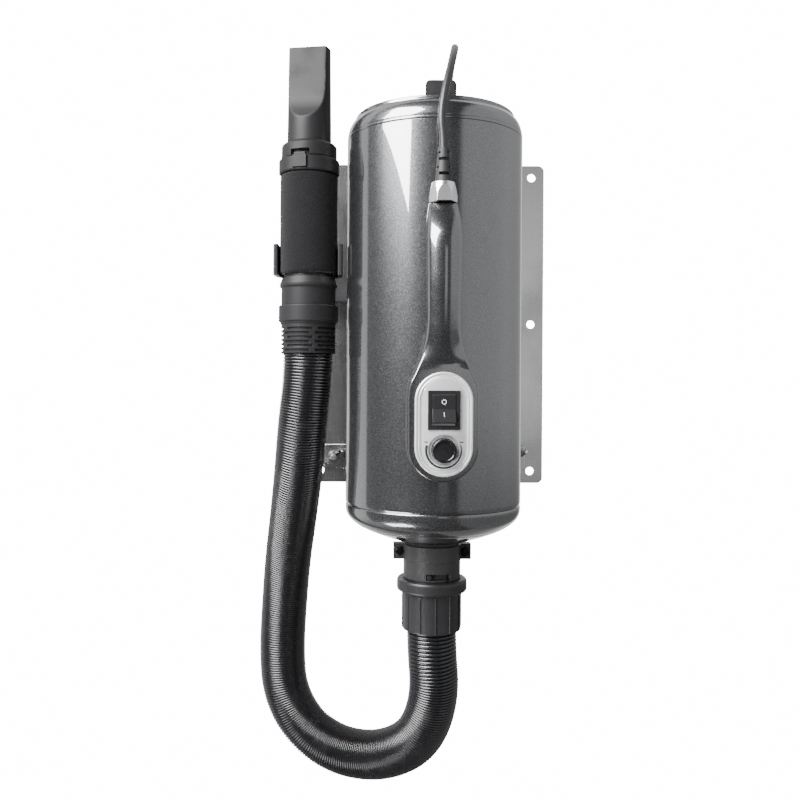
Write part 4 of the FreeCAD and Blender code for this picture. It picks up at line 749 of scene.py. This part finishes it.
class DRYER_OT_shell(bpy.types.Operator):
    """Painted tube with its rolled shoulders, and the bright dome under it"""
    bl_idname = "dryer.shell"
    bl_label = "Canister shell"

    def execute(self, context):
        r, low, top = SHELL_R, SHELL_LOW[2], SHELL_HIGH[2]
        self.lathe("shell_skin", "shell_paint", "shell_tube", [
            (r - 1.2, low), (r - 0.9, low), (r, low + 1.9), (r, low + 9.0), (r, top), (r - 1.2, top),
        ], [0.1, 0.15, 1.8, 1.0, 0.35, 0.35], 6)
        self.lathe("top_roll", "shell_paint", "top_shoulder", [
            (r - 0.5, top), (r, top + 0.45), (r, top + 2.5), (r - 0.5, top + 2.9), (r - 0.15, top + 3.5),
            (r - 0.5, top + 6.5), (r - 1.7, top + 11.0), (r - 3.6, top + 14.6), (r - 5.9, top + 17.2),
            (r - 7.2, top + 18.2), (r - 7.4, top + 19.4), (r - 7.4, top + 21.4), (r - 8.6, top + 22.2),
            (r - 9.8, top + 21.2), (r - 9.8, top + 14.0), (r - 6.4, top + 14.0), (r - 4.5, top + 10.0),
            (r - 1.2, top + 3.0), (r - 1.2, top),
        ], 1.4, 4)
        self.lathe("bottom_roll", "shell_paint", "bottom_shoulder", [
            (r - 0.9, low - 0.2), (r - 0.25, low - 0.9), (r - 0.1, low - 2.6), (r - 0.2, low - 5.2),
            (r - 0.75, low - 8.0), (r - 1.8, low - 10.6), (r - 3.4, low - 12.9), (r - 5.6, low - 15.2),
            (r - 8.4, low - 17.6), (r - 11.6, low - 19.8), (r - 14.4, low - 21.3), (r - 15.4, low - 21.3),
            (r - 15.4, low - 20.1), (r - 9.0, low - 16.4), (r - 5.6, low - 13.4), (r - 1.9, low - 7.0),
            (r - 1.2, low - 0.2),
        ], 1.4, 4)
        edge, neck, z = r - 15.8, 25.0, low - 20.4
        self.lathe("bright_cap", "bright_dome", "outlet_dome", [
            (edge, z), (edge - 0.5, z - 1.6), (edge - 2.6, z - 2.9), (edge - 14.2, z - 7.4),
            (neck + 10.0, z - 12.6), (neck + 5.0, z - 14.1), (neck, z - 14.4), (neck, z - 13.0),
            (neck + 9.0, z - 11.6), (edge - 15.2, z - 5.6), (edge - 3.6, z - 1.4), (edge - 1.2, z - 0.1),
        ], 2.0, 5)
        return {"FINISHED"}

    def lathe(self, name, finish, node, corners, reach, steps):
        """Section of the wall, its corners rounded, turned about the canister's axis."""
        turned(name, eased(corners, reach, steps=steps), SHELL_AXIS, finish, "root", node, around=192)


class DRYER_OT_inlet(bpy.types.Operator):
    """Twist-on inlet cover over its foam, and the liner foam in the canister"""
    bl_idname = "dryer.inlet"
    bl_label = "Inlet"

    def execute(self, context):
        rounded_copy("filter_cover", width=0.7)
        low, high = ends("filter_foam")
        disc = tube_profile(0.0, (high - low)[0] / 2, low[2], high[2], 1.2)
        turned("inlet_foam", disc, SHELL_AXIS, "filter_foam", "root", "filter_foam")
        low, high = ends("foam_liner")
        liner = tube_profile((high - low)[0] / 2 - 8.5, (high - low)[0] / 2, low[2], high[2], 1.5)
        turned("liner_sleeve", liner, SHELL_AXIS, "liner_foam", "root", "foam_liner")
        return {"FINISHED"}


def grooves(count, start, half_width, depth, low, high, outer):
    """Ripple of round grooves: -depth sqrt(1 - (s / half_width)^2), where s is the arc from the nearest
    groove, faded in and out between two heights, on the side beyond outer only. A negative depth gives
    ridges."""
    spacing = 2 * math.pi / count

    def ripple(a, r, h):
        off = (a - math.radians(start) + spacing / 2) % spacing - spacing / 2
        groove = np.sqrt(np.clip(1 - (off * r / half_width) ** 2, 0, 1))
        reach = smooth_step(h, low, low + 1.2) * (1 - smooth_step(h, high - 1.2, high))
        return -depth * groove * reach * (r > outer)

    return ripple


# Bore of the outlet's pieces, and the radius beyond which a cuff's outside is cut
OUTLET_BORE = 19.6
CUFF_SKIN = 24.0


class DRYER_OT_outlet(bpy.types.Operator):
    """Neck, clamp collar, bayonet ring and fluted cuff below the dome"""
    bl_idname = "dryer.outlet"
    bl_label = "Outlet"

    def execute(self, context):
        for node in ("collar_front", "collar_back"):
            rounded_copy(node, "collar_plastic", width=0.6)
        rounded_copy("collar_screws", width=0.3)
        self.ring()
        low, high = ends("fluted_cuff")
        outer = (high - low)[0] / 2
        bottom, top = low[2], high[2]
        wall = [
            (OUTLET_BORE, top), (outer, top), (outer, bottom), (23.1, bottom), (23.1, bottom + 14.0),
            (OUTLET_BORE, bottom + 16.0),
        ]
        flutes = context.scene.dryer_cuff.flutes
        turned("fluted_sleeve", dense(eased(wall, 1.2), 1.2), SHELL_AXIS, "black_plastic", "outlet_coupling",
               "fluted_cuff", around=432, sharp=24.0,
               ripple=grooves(flutes, 3.5, 0.8, -1.0, bottom + 0.6, top - 1.6, CUFF_SKIN))
        return {"FINISHED"}

    def ring(self):
        """Spigot with its hand flange, turned in one, and the bayonet pin that stands out of it."""
        low, high = ends("coupling_ring")
        flange, bottom, top = (high - low)[0] / 2, low[2], high[2]
        step = bottom + 11.8
        wall = [
            (OUTLET_BORE, bottom), (flange - 1.5, bottom), (flange, bottom + 1.6), (flange, step - 2.6),
            (flange - 0.9, step - 0.6), (flange - 3.0, step), (22.7, step), (22.7, top - 1), (21.7, top),
            (OUTLET_BORE, top),
        ]
        turned("hand_flange", eased(wall, 1.3), SHELL_AXIS, "black_plastic", "outlet_coupling",
               "coupling_ring", around=144)
        pin_r, inner, outer = 2.2, 20.6, 27.0
        pin = eased([(0.001, inner), (pin_r, inner), (pin_r, outer), (0.001, outer)], 0.5, steps=3) * (1, -1)
        turn, slot_r, slot_z = math.radians(-10.0), 25.0, bottom + 16.3
        place = SHELL_AXIS + (math.sin(turn) * slot_r, 0, 0)
        place[2] = slot_z
        pin[:, 1] += SHELL_AXIS[1]
        turned("bayonet_pin", pin, place, "black_plastic", "outlet_coupling", around=32, to_front=True)


class DRYER_OT_handset(bpy.types.Operator):
    """Slotted cuff with its band, foam grip, latch ring and flat nozzle"""
    bl_idname = "dryer.handset"
    bl_label = "Handset"

    def execute(self, context):
        self.cuff(context.scene.dryer_cuff)
        self.grip()
        rounded_copy("handset_ring", "nozzle_plastic", width=0.6)
        rounded_copy("nozzle_latch", "nozzle_plastic", width=0.6)
        self.nozzle()
        return {"FINISHED"}

    def cuff(self, size):
        """Sleeve r = R - depth where a row's slot is: each row has five slots of 61 degrees, and every second
        row is turned by 7 degrees."""
        bottom = ends("swivel_cuff")[0][2]
        outer, slot_step, slot, stagger = 24.9, 72.0, 61.0, 7.0
        wall = [
            (23.05, bottom), (outer, bottom), (outer, 25.0), (26.4, 26.0), (26.4, 28.5), (24.0, 34.5),
            (23.5, 35.0), (21.3, 35.0), (21.3, 5.0), (18.8, 5.0), (18.8, -4.0), (23.05, -8.0),
        ]

        def slots(a, r, h):
            row, share = np.divmod((h - bottom) / size.pitch * MM, 1.0)
            off = (np.degrees(a) + 2 * slot_step - stagger * (row % 2)) % slot_step
            across = smooth_step(off, 0, 2.0) * (1 - smooth_step(off, slot - 2.0, slot))
            up = smooth_step(share, 0.44, 0.52) * (1 - smooth_step(share, 0.92, 1.0))
            return -size.depth / MM * across * up * (r > CUFF_SKIN) * (row < size.rows)

        turned("slotted_cuff", dense(eased(wall, 0.5, steps=3), 0.4), HANDSET_AXIS, "nozzle_plastic",
               "hose_cuff", "swivel_cuff", around=240, ripple=slots, sharp=32.0)

        ring_low, ring_high = ends("cuff_ring")
        ring_r = (ring_high - ring_low)[0] / 2
        low, high = ring_low[2], ring_high[2]
        band = [
            (outer, low), (ring_r - 1.6, low), (ring_r - 1.6, low + 1.6), (ring_r, low + 2.2),
            (ring_r, high - 0.9), (ring_r - 0.9, high), (outer, high),
        ]
        turned("cuff_band", eased(band, 0.6), HANDSET_AXIS, "nozzle_plastic", "hose_cuff", "cuff_ring",
               around=144)

    def grip(self):
        """Foam sleeve: its radius swings by a tenth of a millimetre in slow waves round and along it."""
        low, high = ends("foam_grip")
        r = (high - low)[0] / 2 - 0.15

        def swell(a, r_here, h):
            return 0.12 * np.sin(3 * a + h * 0.11) * np.sin(h * 0.07 + 1.0) * (r_here > CUFF_SKIN)

        wall = dense(tube_profile(21.0, r, low[2], high[2], 3.0), 3.0)
        grip = turned("foam_sleeve", wall, HANDSET_AXIS, "grip_foam", "handset", "foam_grip", ripple=swell)

    def nozzle(self):
        """Spout whose section at each height is |v| < d(h) cut out of a circle of radius r(h).

        At angle a round the axis its radius is the softened smaller one of r and d / |sin a|. d falls from r
        along the scooped flats to the mouth. The duct inside is the same form less the wall, and the collar
        has a notch over the latch.
        """
        low, high = ends("nozzle")
        bottom = low[2] + 24.0
        top = high[2]
        wall = 2.0
        scoop = bottom + 35.2
        bend = through([(20.6, -1.5), (19.6, 1.0), (16.6, 5.5), (13.3, 11.0), (10.7, 17.5), (9.2, 25.0),
                        (8.3, 36.0), (7.4, 68.5)])

        def sections(heights, shrink, extra):
            """Rings at the given heights, drawn in by shrink all round and out by extra on the round part."""
            r = np.interp(heights, [bottom, top], [20.4, 19.2]) - shrink + extra
            d = np.interp(heights - scoop, bend[:, 1], bend[:, 0], left=60.0) - shrink
            a = np.linspace(0, 2 * math.pi, 192, endpoint=False)
            limit = d[:, None] / np.maximum(np.abs(np.sin(a)), 1e-3)
            soft = 0.35
            radius = -soft * np.logaddexp(-r[:, None] / soft, -np.minimum(limit, 400.0) / soft)
            at_latch = (np.abs(25.4 * np.cos(a) + 1.0) < 8.4) & (np.sin(a) > 0)
            low_enough = (heights > bottom - 0.01) & (heights < bottom + 5.5)
            radius = np.where(low_enough[:, None] & at_latch, np.minimum(radius, 21.4), radius)
            u, v = radius * np.cos(a), -radius * np.sin(a)
            cos, sin = math.cos(LATCH_TURN), math.sin(LATCH_TURN)
            x, y = u * cos - v * sin, u * sin + v * cos
            z = heights[:, None] - 0.039 * (u + 19.0) * smooth_step(heights, top - 40.0, top)[:, None]
            return np.stack([HANDSET_AXIS[0] + x, HANDSET_AXIS[1] + y, z], -1)

        collar_z = np.array([low[2], low[2] + 0.6, bottom - 0.02, bottom, bottom + 0.5, bottom + 5.4,
                             bottom + 5.7, bottom + 11.6, bottom + 12.4, bottom + 14.0, bottom + 14.6,
                             bottom + 15.4])
        collar_r = np.array([-1.4, -0.9, -0.9, 4.5, 5.1, 5.1, 5.1, 5.1, 4.7, 3.1, 1.2, 0.0])
        climb = np.concatenate([collar_z, np.linspace(bottom + 17.0, scoop - 0.3, 5),
                                np.linspace(scoop + 0.5, scoop + 30.0, 40),
                                np.linspace(scoop + 32.0, top - 0.8, 14), [top - 0.3, top]])
        extra = np.zeros(len(climb))
        extra[:len(collar_r)] = collar_r
        extra[-2:] = [-0.1, -0.45]
        inside = np.concatenate([[top, top - 0.6], np.linspace(top - 3.0, low[2], 24)])
        rows = np.concatenate([sections(climb, 0.0, extra), sections(inside, wall, np.zeros(len(inside)))])
        layered("flat_nozzle", rows, "nozzle_plastic", "nozzle", "nozzle", loop=True, sharp=40.0)


class DRYER_OT_holder(bpy.types.Operator):
    """Spring clip of the handset on its bent arm"""
    bl_idname = "dryer.holder"
    bl_label = "Handset holder"

    def execute(self, context):
        rounded_copies(holder_clip=0.7, holder_arm=0.5, holder_screws=0.3)
        return {"FINISHED"}


# The handle: its bar, the finger gap behind it, and the pod whose round foot is about POD_Z
BAR_HALF = 14.3
BAR_END_Z = 68.0
HANDLE_TOP = 85.0
POD_HALF = 28.0
POD_Z = -112.0
POD_TOP = -52.0
GAP_LOW, GAP_HIGH = -20.0, 46.0
GAP_Y = -203.0
GAP_CORNER = 9.0


class DRYER_OT_handle(bpy.types.Operator):
    """Moulded handle that widens into the control pod"""
    bl_idname = "dryer.handle"
    bl_label = "Handle"

    def execute(self, context):
        """The outline x = +-w(z) is drawn in towards a line on the middle, x and z (1 - s) + s spine.

        Its depth is the front or the back, each eased over a rim of radius q by q (1 - sin t) where the
        outline is drawn in by q (1 - cos t). The upper foot is drawn in towards the shell.
        """
        outline = self.outline()
        x, z = outline.T
        spine_z = np.clip(z, POD_Z, HANDLE_TOP - 14.0)
        reach = np.hypot(x, z - spine_z)
        rim = context.scene.dryer_panel.rounding / MM
        front_rim = (1.6 + (rim - 1.6) * smooth_step(z, POD_TOP, GAP_LOW)
                     - 1.8 * smooth_step(z, BAR_END_Z, HANDLE_TOP))
        back_rim = 0.3 + (rim - 0.3) * smooth_step(z, GAP_LOW, GAP_LOW + 8) * (
            1 - smooth_step(z, GAP_HIGH - 8, GAP_HIGH))

        def row(inset, depth, lift=0.0):
            share = np.clip(inset / reach, 0, 1)
            px, pz = x * (1 - share), z + (spine_z - z) * share
            py = depth(px, pz) + lift
            draft = 0.19 * np.clip((py + 209.0) / 27.0, 0, 1) * smooth_step(pz, 33.0, 40.0)
            return np.stack([px * (1 - draft), py, pz], -1)

        turns = [(1 - math.cos(t), 1 - math.sin(t)) for t in np.linspace(0, math.pi / 2, 8)]
        rows = [row(reach * (1 - s), self.back) for s in (0.0, 0.35, 0.7)]
        rows += [row(back_rim * inward, self.back, -back_rim * lift) for inward, lift in turns[::-1]]
        rows += [row(front_rim * inward, self.front, front_rim * lift) for inward, lift in turns]
        rows += [row(front_rim + (reach - front_rim) * s, self.front)
                 for s in (0.15, 0.3, 0.45, 0.6, 0.8, 1.0)]
        rows = np.array(rows)
        piece("moulded_handle", rows, [grid(len(rows), len(outline), False, True)], "handle_plastic", "root",
              "handle", sharp=40.0)
        return {"FINISHED"}

    def outline(self):
        """Outline seen from the front: the pod's round foot, its sides up to the bar, and the bar's top end.
        Heights are closer together at the corners of the finger gap."""
        side = through([
            (POD_HALF, POD_Z), (POD_HALF, -96.0), (POD_HALF, -80.0), (27.9, -69.5), (26.6, -61.0),
            (22.5, -52.5), (18.3, -41.0), (15.6, -30.0), (14.1, -20.0), (13.5, -8.0), (13.6, 8.0),
            (13.9, 30.0), (BAR_HALF, 50.0), (BAR_HALF, BAR_END_Z),
        ], 12)
        gap_curve = GAP_CORNER * (1 - np.cos(np.linspace(0, math.pi / 2, 7)))
        heights = np.unique(np.concatenate([
            side[:, 1], GAP_LOW + gap_curve, GAP_HIGH - gap_curve,
            [GAP_LOW - 0.02, GAP_LOW + 0.02, GAP_HIGH - 0.02, GAP_HIGH + 0.02]]))
        right = np.stack([np.interp(heights, side[:, 1], side[:, 0]), heights], 1)
        cap = eased([(BAR_HALF, BAR_END_Z), (BAR_HALF, 73.0), (12.8, HANDLE_TOP), (0.0, HANDLE_TOP)],
                    [0, 5, 2.0, 0], closed=False, steps=9)
        cap = np.vstack([cap[(cap[:, 1] > BAR_END_Z + 0.01) & (cap[:, 0] > 10)],
                         [(x, HANDLE_TOP) for x in (9.0, 7.0, 5.0, 2.5)]])
        cap = cap[np.argsort(-cap[:, 0] + cap[:, 1] * 1e-3)]
        foot = (0.0, POD_Z) + POD_HALF * spokes(np.linspace(-math.pi / 2, 0, 20)[1:-1])
        one_side = np.vstack([foot, right, cap])
        return np.vstack([[(0.0, POD_Z - POD_HALF)], one_side, [(0.0, HANDLE_TOP)], one_side[::-1] * (-1, 1)])

    def front(self, x, z):
        """Front curve f(z) with a crown c (x / w)^2 on the bar."""
        line = through([(-46.0, -213.0), (-32.0, -215.3), (-18.0, -218.0), (14.0, -220.8), (34.0, -221.3),
                        (46.0, -221.2), (54.0, -220.5), (60.0, -218.8), (66.0, -215.8), (72.0, -211.8),
                        (78.0, -207.2), (HANDLE_TOP, -202.6)])
        crown = 5.2 * smooth_step(z, POD_TOP, -24.0) * (x / BAR_HALF) ** 2
        return np.interp(z, line[:, 0], line[:, 1]) + crown

    def back(self, x, z):
        """Seat on the shell, y = Y - sqrt(R^2 - x^2), and behind the bar the finger gap, whose corners are
        quarter circles."""
        seat = SHELL_AXIS[1] - np.sqrt((SHELL_R + 1.5) ** 2 - x ** 2)
        inside = np.minimum(z - GAP_LOW, GAP_HIGH - z)
        short = np.clip(GAP_CORNER - inside, 0, GAP_CORNER)
        gap = GAP_Y + GAP_CORNER - np.sqrt(GAP_CORNER ** 2 - short ** 2)
        return np.where(inside > 0, gap, seat)


class DRYER_OT_controls(bpy.types.Operator):
    """Bright panel with the rocker switch, the speed knob and its scale"""
    bl_idname = "dryer.controls"
    bl_label = "Controls"

    def execute(self, context):
        self.bezel()
        rounded_copies(rocker_frame=0.5, rocker_paddle=0.5)
        self.knob(context.scene.dryer_panel)
        self.marks(context.scene.dryer_panel)
        return {"FINISHED"}

    def bezel(self):
        """Racetrack plate with two ridges round a crowned face, a window and a soft dish under the knob.

        The outline drawn in by e is x = (w - e) cos a, z = +-straight + (w - e) sin a. The depth of the rim
        follows a line over e, and the face lies at y = face - c (1 - (x / w)^2), eased into the dish. Inwards
        the rows pass over to the window along straight lines.
        """
        low, high = ends("control_bezel")
        half, middle_z = (high - low)[0] / 2, (high + low)[2] / 2
        straight = (high - low)[2] / 2 - half
        front, back = low[1], high[1]
        frame_low, frame_high = ends("rocker_frame")
        window_z = (frame_low + frame_high)[2] / 2
        angle = np.linspace(-math.pi, math.pi, 288, endpoint=False)

        def seen_from_window(x, z):
            """The outline's points at equal angles round the window's centre."""
            a = np.arctan2(z - window_z, x)
            order = np.argsort(a)
            return np.stack([np.interp(angle, a[order], v[order], period=2 * math.pi) for v in (x, z)])

        def racetrack(e):
            a = np.linspace(0, 2 * math.pi, 720, endpoint=False)
            run = np.linspace(-straight, straight, 160)
            r = half - e
            x = np.concatenate([r * np.cos(a), np.full(160, r), np.full(160, -r)])
            z = np.concatenate([np.sign(np.sin(a)) * straight + r * np.sin(a), run, run])
            return seen_from_window(x, z + middle_z)

        def face(x, z):
            crowned = front + 1.5 - self.crown(x)
            off_knob = np.hypot(x, z - KNOB_Z)
            return crowned + (front + 1.8 - crowned) * (1 - smooth_step(off_knob, 10.9, 12.4))

        rim_width = 5.2
        rim = eased([(0.0, 3.0), (0.0, 0.4), (1.0, 0.0), (1.7, 0.1), (2.3, 1.0), (2.8, 1.0), (3.3, 0.4),
                     (3.9, 0.4), (4.4, 1.1), (rim_width, 1.0)], 0.3, closed=False, steps=4)
        rows = []
        for e, depth in rim:
            x, z = racetrack(e)
            rows.append(np.stack([x, np.full(len(x), front + depth), z], -1))
        ring = racetrack(rim_width)
        ray = spokes(angle).T
        corner = np.sign(ray) * [[11.2], [14.2]]
        window = ray * np.min(np.abs(corner) / np.maximum(np.abs(ray), 1e-6), axis=0)
        window[1] += window_z
        for share in np.linspace(0.02, 1.0, 56):
            x, z = ring + (window - ring) * share
            rows.append(np.stack([x, face(x, z), z], -1))
        x, z = window
        rows.append(np.stack([x, np.full(len(x), back), z], -1))
        layered("control_panel", rows, "bezel_silver", "root", "control_bezel", loop=True, sharp=50.0)

    def crown(self, x):
        """How far the face stands out beyond its edges."""
        height, half = 1.6, 19.6
        return height * (1 - (x / half) ** 2)

    def marks(self, size):
        """Scale round the knob, r = R + w(a) s for s from -1 to 1 with a width w that thins out along the
        turn, the bars at its ends, and the ring and bar on the rocker."""
        panel_y = ends("control_bezel")[0][1]
        proud, sunk = size.mark / MM, -0.4

        def strip(name, centre, way, width, finish, body, surface, loop=False):
            """Flat strip along a line of points, its edges way * width to both sides."""
            near, far = centre - way * width[:, None], centre + way * width[:, None]
            rows = []
            for point, lift in ((near, proud), (far, proud), (far, sunk), (near, sunk)):
                x, z = point.T
                rows.append(np.stack([x, surface(x, z) - lift, z], -1))
            rows = np.array(rows).transpose(1, 0, 2)
            return layered(name, rows, finish, body, loop=loop, even=False)

        def on_panel(x, z):
            return panel_y + 1.5 - self.crown(x)

        def bar(name, centre, long, half, finish, body, surface):
            """Straight strip, long from its centre to either end."""
            line = np.array([centre, centre]) + np.array([long, long]) * [[-1], [1]]
            side = np.array([long, long])[:, ::-1] / np.linalg.norm(long)
            strip(name, line, side, np.full(2, half), finish, body, surface)

        away = spokes(np.radians(np.linspace(164.0, 379.0, 80)))
        strip("speed_scale", away * 13.9 + (0, KNOB_Z), away, np.linspace(1.0, 0.45, 80), "mark_dark", "root",
              on_panel)
        for name, x in (("speed_low", -14.0), ("speed_high", 14.0)):
            bar(name, (x, KNOB_Z + 6.4), (1.5, 0.0), 0.45, "mark_dark", "root", on_panel)

        paddle = body_of(frame["nodes"]["rocker_paddle"])[0]
        _, paddle_y, paddle_z = ends("rocker_paddle")[0]

        def on_paddle(x, z):
            """The upper half is flat, the lower one leans out to the front."""
            fold, slope = paddle_z + 11.4, 0.364
            return paddle_y + 3.82 - slope * np.maximum(0, fold - z)

        away = spokes(np.linspace(0, 2 * math.pi, 48, endpoint=False))
        strip("switch_off_mark", away * 1.7 + (0, paddle_z + 17.2), away, np.full(48, 0.12), "mark_white",
              paddle, on_paddle, loop=True)
        bar("switch_on_mark", (0.0, paddle_z + 7.25), (0.0, 1.85), 0.12, "mark_white", paddle, on_paddle)

    def knob(self, size):
        """Knob turned about an axis to the front, with a dished face and grips round it."""
        low, high = ends("speed_knob")
        axis = np.array([0.0, 0.0, KNOB_Z])
        front, back, r = low[1], high[1], (high - low)[0] / 2
        body = [
            (3.0, back), (r, back), (r, back - 1.2), (r - 0.7, front + 0.4), (r - 1.1, front),
            (r - 2.4, front), (r - 3.2, front + 0.6), (0.001, front + 0.7), (0.001, front + 3.0),
            (3.0, front + 3.0),
        ]
        grips = grooves(size.grips, 0.0, 0.55, 0.4, front + 1.6, back - 1.0, r - 1.0)
        turned("knob_cap", dense(eased(body, 0.5, steps=4), 1.0), axis, "knob_plastic", "speed_knob",
               "speed_knob", around=256, ripple=grips, to_front=True, sharp=40.0)


class DRYER_OT_lead(bpy.types.Operator):
    """Gland nut and slotted strain relief on the handle's top end"""
    bl_idname = "dryer.lead"
    bl_label = "Gland and strain relief"

    def execute(self, context):
        rounded_copies(gland_nut=0.8, strain_relief=0.35)
        return {"FINISHED"}


class DRYER_OT_bracket(bpy.types.Operator):
    """Wall plate, strap with its wing nuts, saddle, hook and hanger"""
    bl_idname = "dryer.bracket"
    bl_label = "Wall bracket"

    def execute(self, context):
        rounded_copies(wall_plate=0.5, lower_strap=0.4, lower_saddle=0.6, upper_hook=0.5, body_hanger=0.5,
                       wing_nut_left=0.6, wing_nut_right=0.6, strap_studs=0.3)
        return {"FINISHED"}


class DRYER_OT_finish(bpy.types.Operator):
    """Finishes of the nodes that keep their own shape, inside and out"""
    bl_idname = "dryer.finish"
    bl_label = "Finishes inside"

    def execute(self, context):
        for node in frame["nodes"].values():
            for place in node.material_slots:
                place.material = finished(place.material.name)
        return {"FINISHED"}


# Stage

class DRYER_OT_camera(bpy.types.Operator):
    """Camera where the photograph was taken from"""
    bl_idname = "dryer.camera"
    bl_label = "Camera"

    def execute(self, context):
        data = bpy.data.cameras.new("photo_camera")
        data.lens = 38.1
        data.sensor_width = 36.0
        data.shift_x = 0.0419
        data.shift_y = -0.0244
        camera = bpy.data.objects.new("photo_camera", data)
        camera.location = (-0.0613, -0.883, -0.0593)
        camera.rotation_euler = (math.radians(90.0), math.radians(-0.36), 0.0)
        context.scene.collection.objects.link(camera)
        context.scene.camera = camera
        return {"FINISHED"}


# Each lamp's name, place, target, width and height in metres, its roll in degrees and its power in watts
LAMPS = [
    ("key_box", (-1.083, -1.034, 1.07), (0.0, -0.1, 0.15), 1.19, 1.25, -14.0, 190.0),
    ("low_box", (-0.417, -0.343, -0.745), (0.0, -0.1, -0.17), 0.36, 0.24, 0.0, 4.5),
    ("side_fill", (0.9, -1.5, 0.3), (0.1, 0.0, 0.0), 1.0, 1.0, 0.0, 15.0),
    ("left_fill", (-0.9, -0.9, -0.45), (0.0, -0.1, -0.25), 0.4, 0.4, 0.0, 62.0),
]


class DRYER_OT_stage(bpy.types.Operator):
    """Pale floor, near-white surroundings, a large soft lamp, a small one low down and two dull fills"""
    bl_idname = "dryer.stage"
    bl_label = "Floor and light"

    def execute(self, context):
        size = context.scene.dryer_stage
        self.floor(context.scene, size)
        self.surroundings(context.scene, size)
        for lamp in LAMPS:
            self.lamp(context.scene, *lamp)
        return {"FINISHED"}

    def lamp(self, scene, name, place, target, wide, tall, roll, power):
        """Soft box that the camera doesn't see. A fill shows in no reflection either."""
        data = bpy.data.lights.new(name, "AREA")
        data.shape = "RECTANGLE"
        data.size, data.size_y, data.energy = wide, tall, power
        lamp = bpy.data.objects.new(name, data)
        lamp.location = place
        aim = (Vector(target) - Vector(place)).to_track_quat("-Z", "Y")
        lamp.rotation_euler = (aim @ Quaternion((0.0, 0.0, 1.0), math.radians(roll))).to_euler()
        lamp.visible_camera = False
        lamp.visible_glossy = not name.endswith("fill")
        scene.collection.objects.link(lamp)

    def floor(self, scene, size):
        """Round pale floor below the object, left out of reflections."""
        corners, middle_y = 96, -0.1
        edge = size.reach * spokes(np.linspace(0, 2 * math.pi, corners, endpoint=False)) + (0.0, middle_y)
        edge = np.column_stack([edge, np.full(corners, CAD_BOX[0][2] - size.drop)])
        mesh = bpy.data.meshes.new("floor")
        mesh.from_pydata(edge.tolist(), [], [list(range(corners))])
        floor = bpy.data.objects.new("floor", mesh)
        floor.visible_glossy = False
        cover = Finish("floor", roughness=0.8)
        cover.set("Base Color", cover.mix(cover.noise(3.0), shade(size.floor), shade(size.floor, 0.97)))
        mesh.materials.append(cover.material)
        scene.collection.objects.link(floor)

    def surroundings(self, scene, size):
        """Near-white all round for the eye. What lights the object is bright behind it on the left, even on
        the right, fading below, lit in a patch just right of the camera, and darkest straight in front."""
        world = bpy.data.worlds.new("surroundings")
        world.use_nodes = True
        sky = Nodes(world.node_tree, "Background")
        way = sky.node("ShaderNodeTexCoord", {}, {}, "Generated")
        across, into, up = (sky.node("ShaderNodeSeparateXYZ", {}, {0: way}, axis) for axis in range(3))
        fade = (sky.between(up, -0.2, 0.0) * 0.7 + 0.3) * (1 - sky.between(into, 0.1, 0.8) * 0.5)
        right = sky.between(across, 0.4, 0.55)
        left = sky.between(-1 * across, 0.1, 0.35) * (1 - sky.between(up, 0.1, 0.5) * 0.6)
        behind = sky.between(into, 0.12, 0.2) * (1 - right) * (sky.between(up, -0.8, -0.3) * 0.8 + 0.2)
        near = sky.between(across, 0.03, 0.1) * (1 - sky.between(across, 0.22, 0.3)) * (
            sky.between(up, -0.17, -0.02) * (1 - sky.between(up, 0.2, 0.28))
            * (1 - sky.between(into, -0.5, 0.0)))
        light = (size.front + right * fade * size.right + left * size.left + behind * size.back
                 + near * size.near)
        seen = sky.node("ShaderNodeLightPath", {}, {}, "Is Camera Ray")
        sky.set("Color", (0.985, 0.99, 1.0, 1))
        sky.set("Strength", seen * size.seen + (1 - seen) * light)
        scene.world = world


STEPS = (
    DRYER_OT_camera, DRYER_OT_cords, DRYER_OT_shell, DRYER_OT_inlet, DRYER_OT_outlet, DRYER_OT_handset,
    DRYER_OT_holder, DRYER_OT_handle, DRYER_OT_controls, DRYER_OT_lead, DRYER_OT_bracket, DRYER_OT_finish,
    DRYER_OT_stage,
)


class DRYER_PT_panel(bpy.types.Panel):
    """Sizes and colours of the dryer, and the steps that build it"""
    bl_idname = "DRYER_PT_panel"
    bl_label = "Pet dryer"
    bl_space_type = "VIEW_3D"
    bl_region_type = "UI"
    bl_category = "Pet dryer"

    def draw(self, context):
        for name, group in SETTINGS.items():
            box = self.layout.box()
            for key in group.__annotations__:
                box.prop(getattr(context.scene, name), key)
        for step in STEPS:
            self.layout.operator(step.bl_idname)


def register():
    for name, group in SETTINGS.items():
        bpy.utils.register_class(group)
        setattr(bpy.types.Scene, name, bpy.props.PointerProperty(type=group))
    for step in STEPS:
        bpy.utils.register_class(step)
    bpy.utils.register_class(DRYER_PT_panel)


def unregister():
    bpy.utils.unregister_class(DRYER_PT_panel)
    for step in reversed(STEPS):
        bpy.utils.unregister_class(step)
    for name, group in SETTINGS.items():
        delattr(bpy.types.Scene, name)
        bpy.utils.unregister_class(group)


def main():
    register()
    for step in STEPS:
        group, name = step.bl_idname.split(".")
        getattr(getattr(bpy.ops, group), name)()


if __name__ == "__main__":
    main()
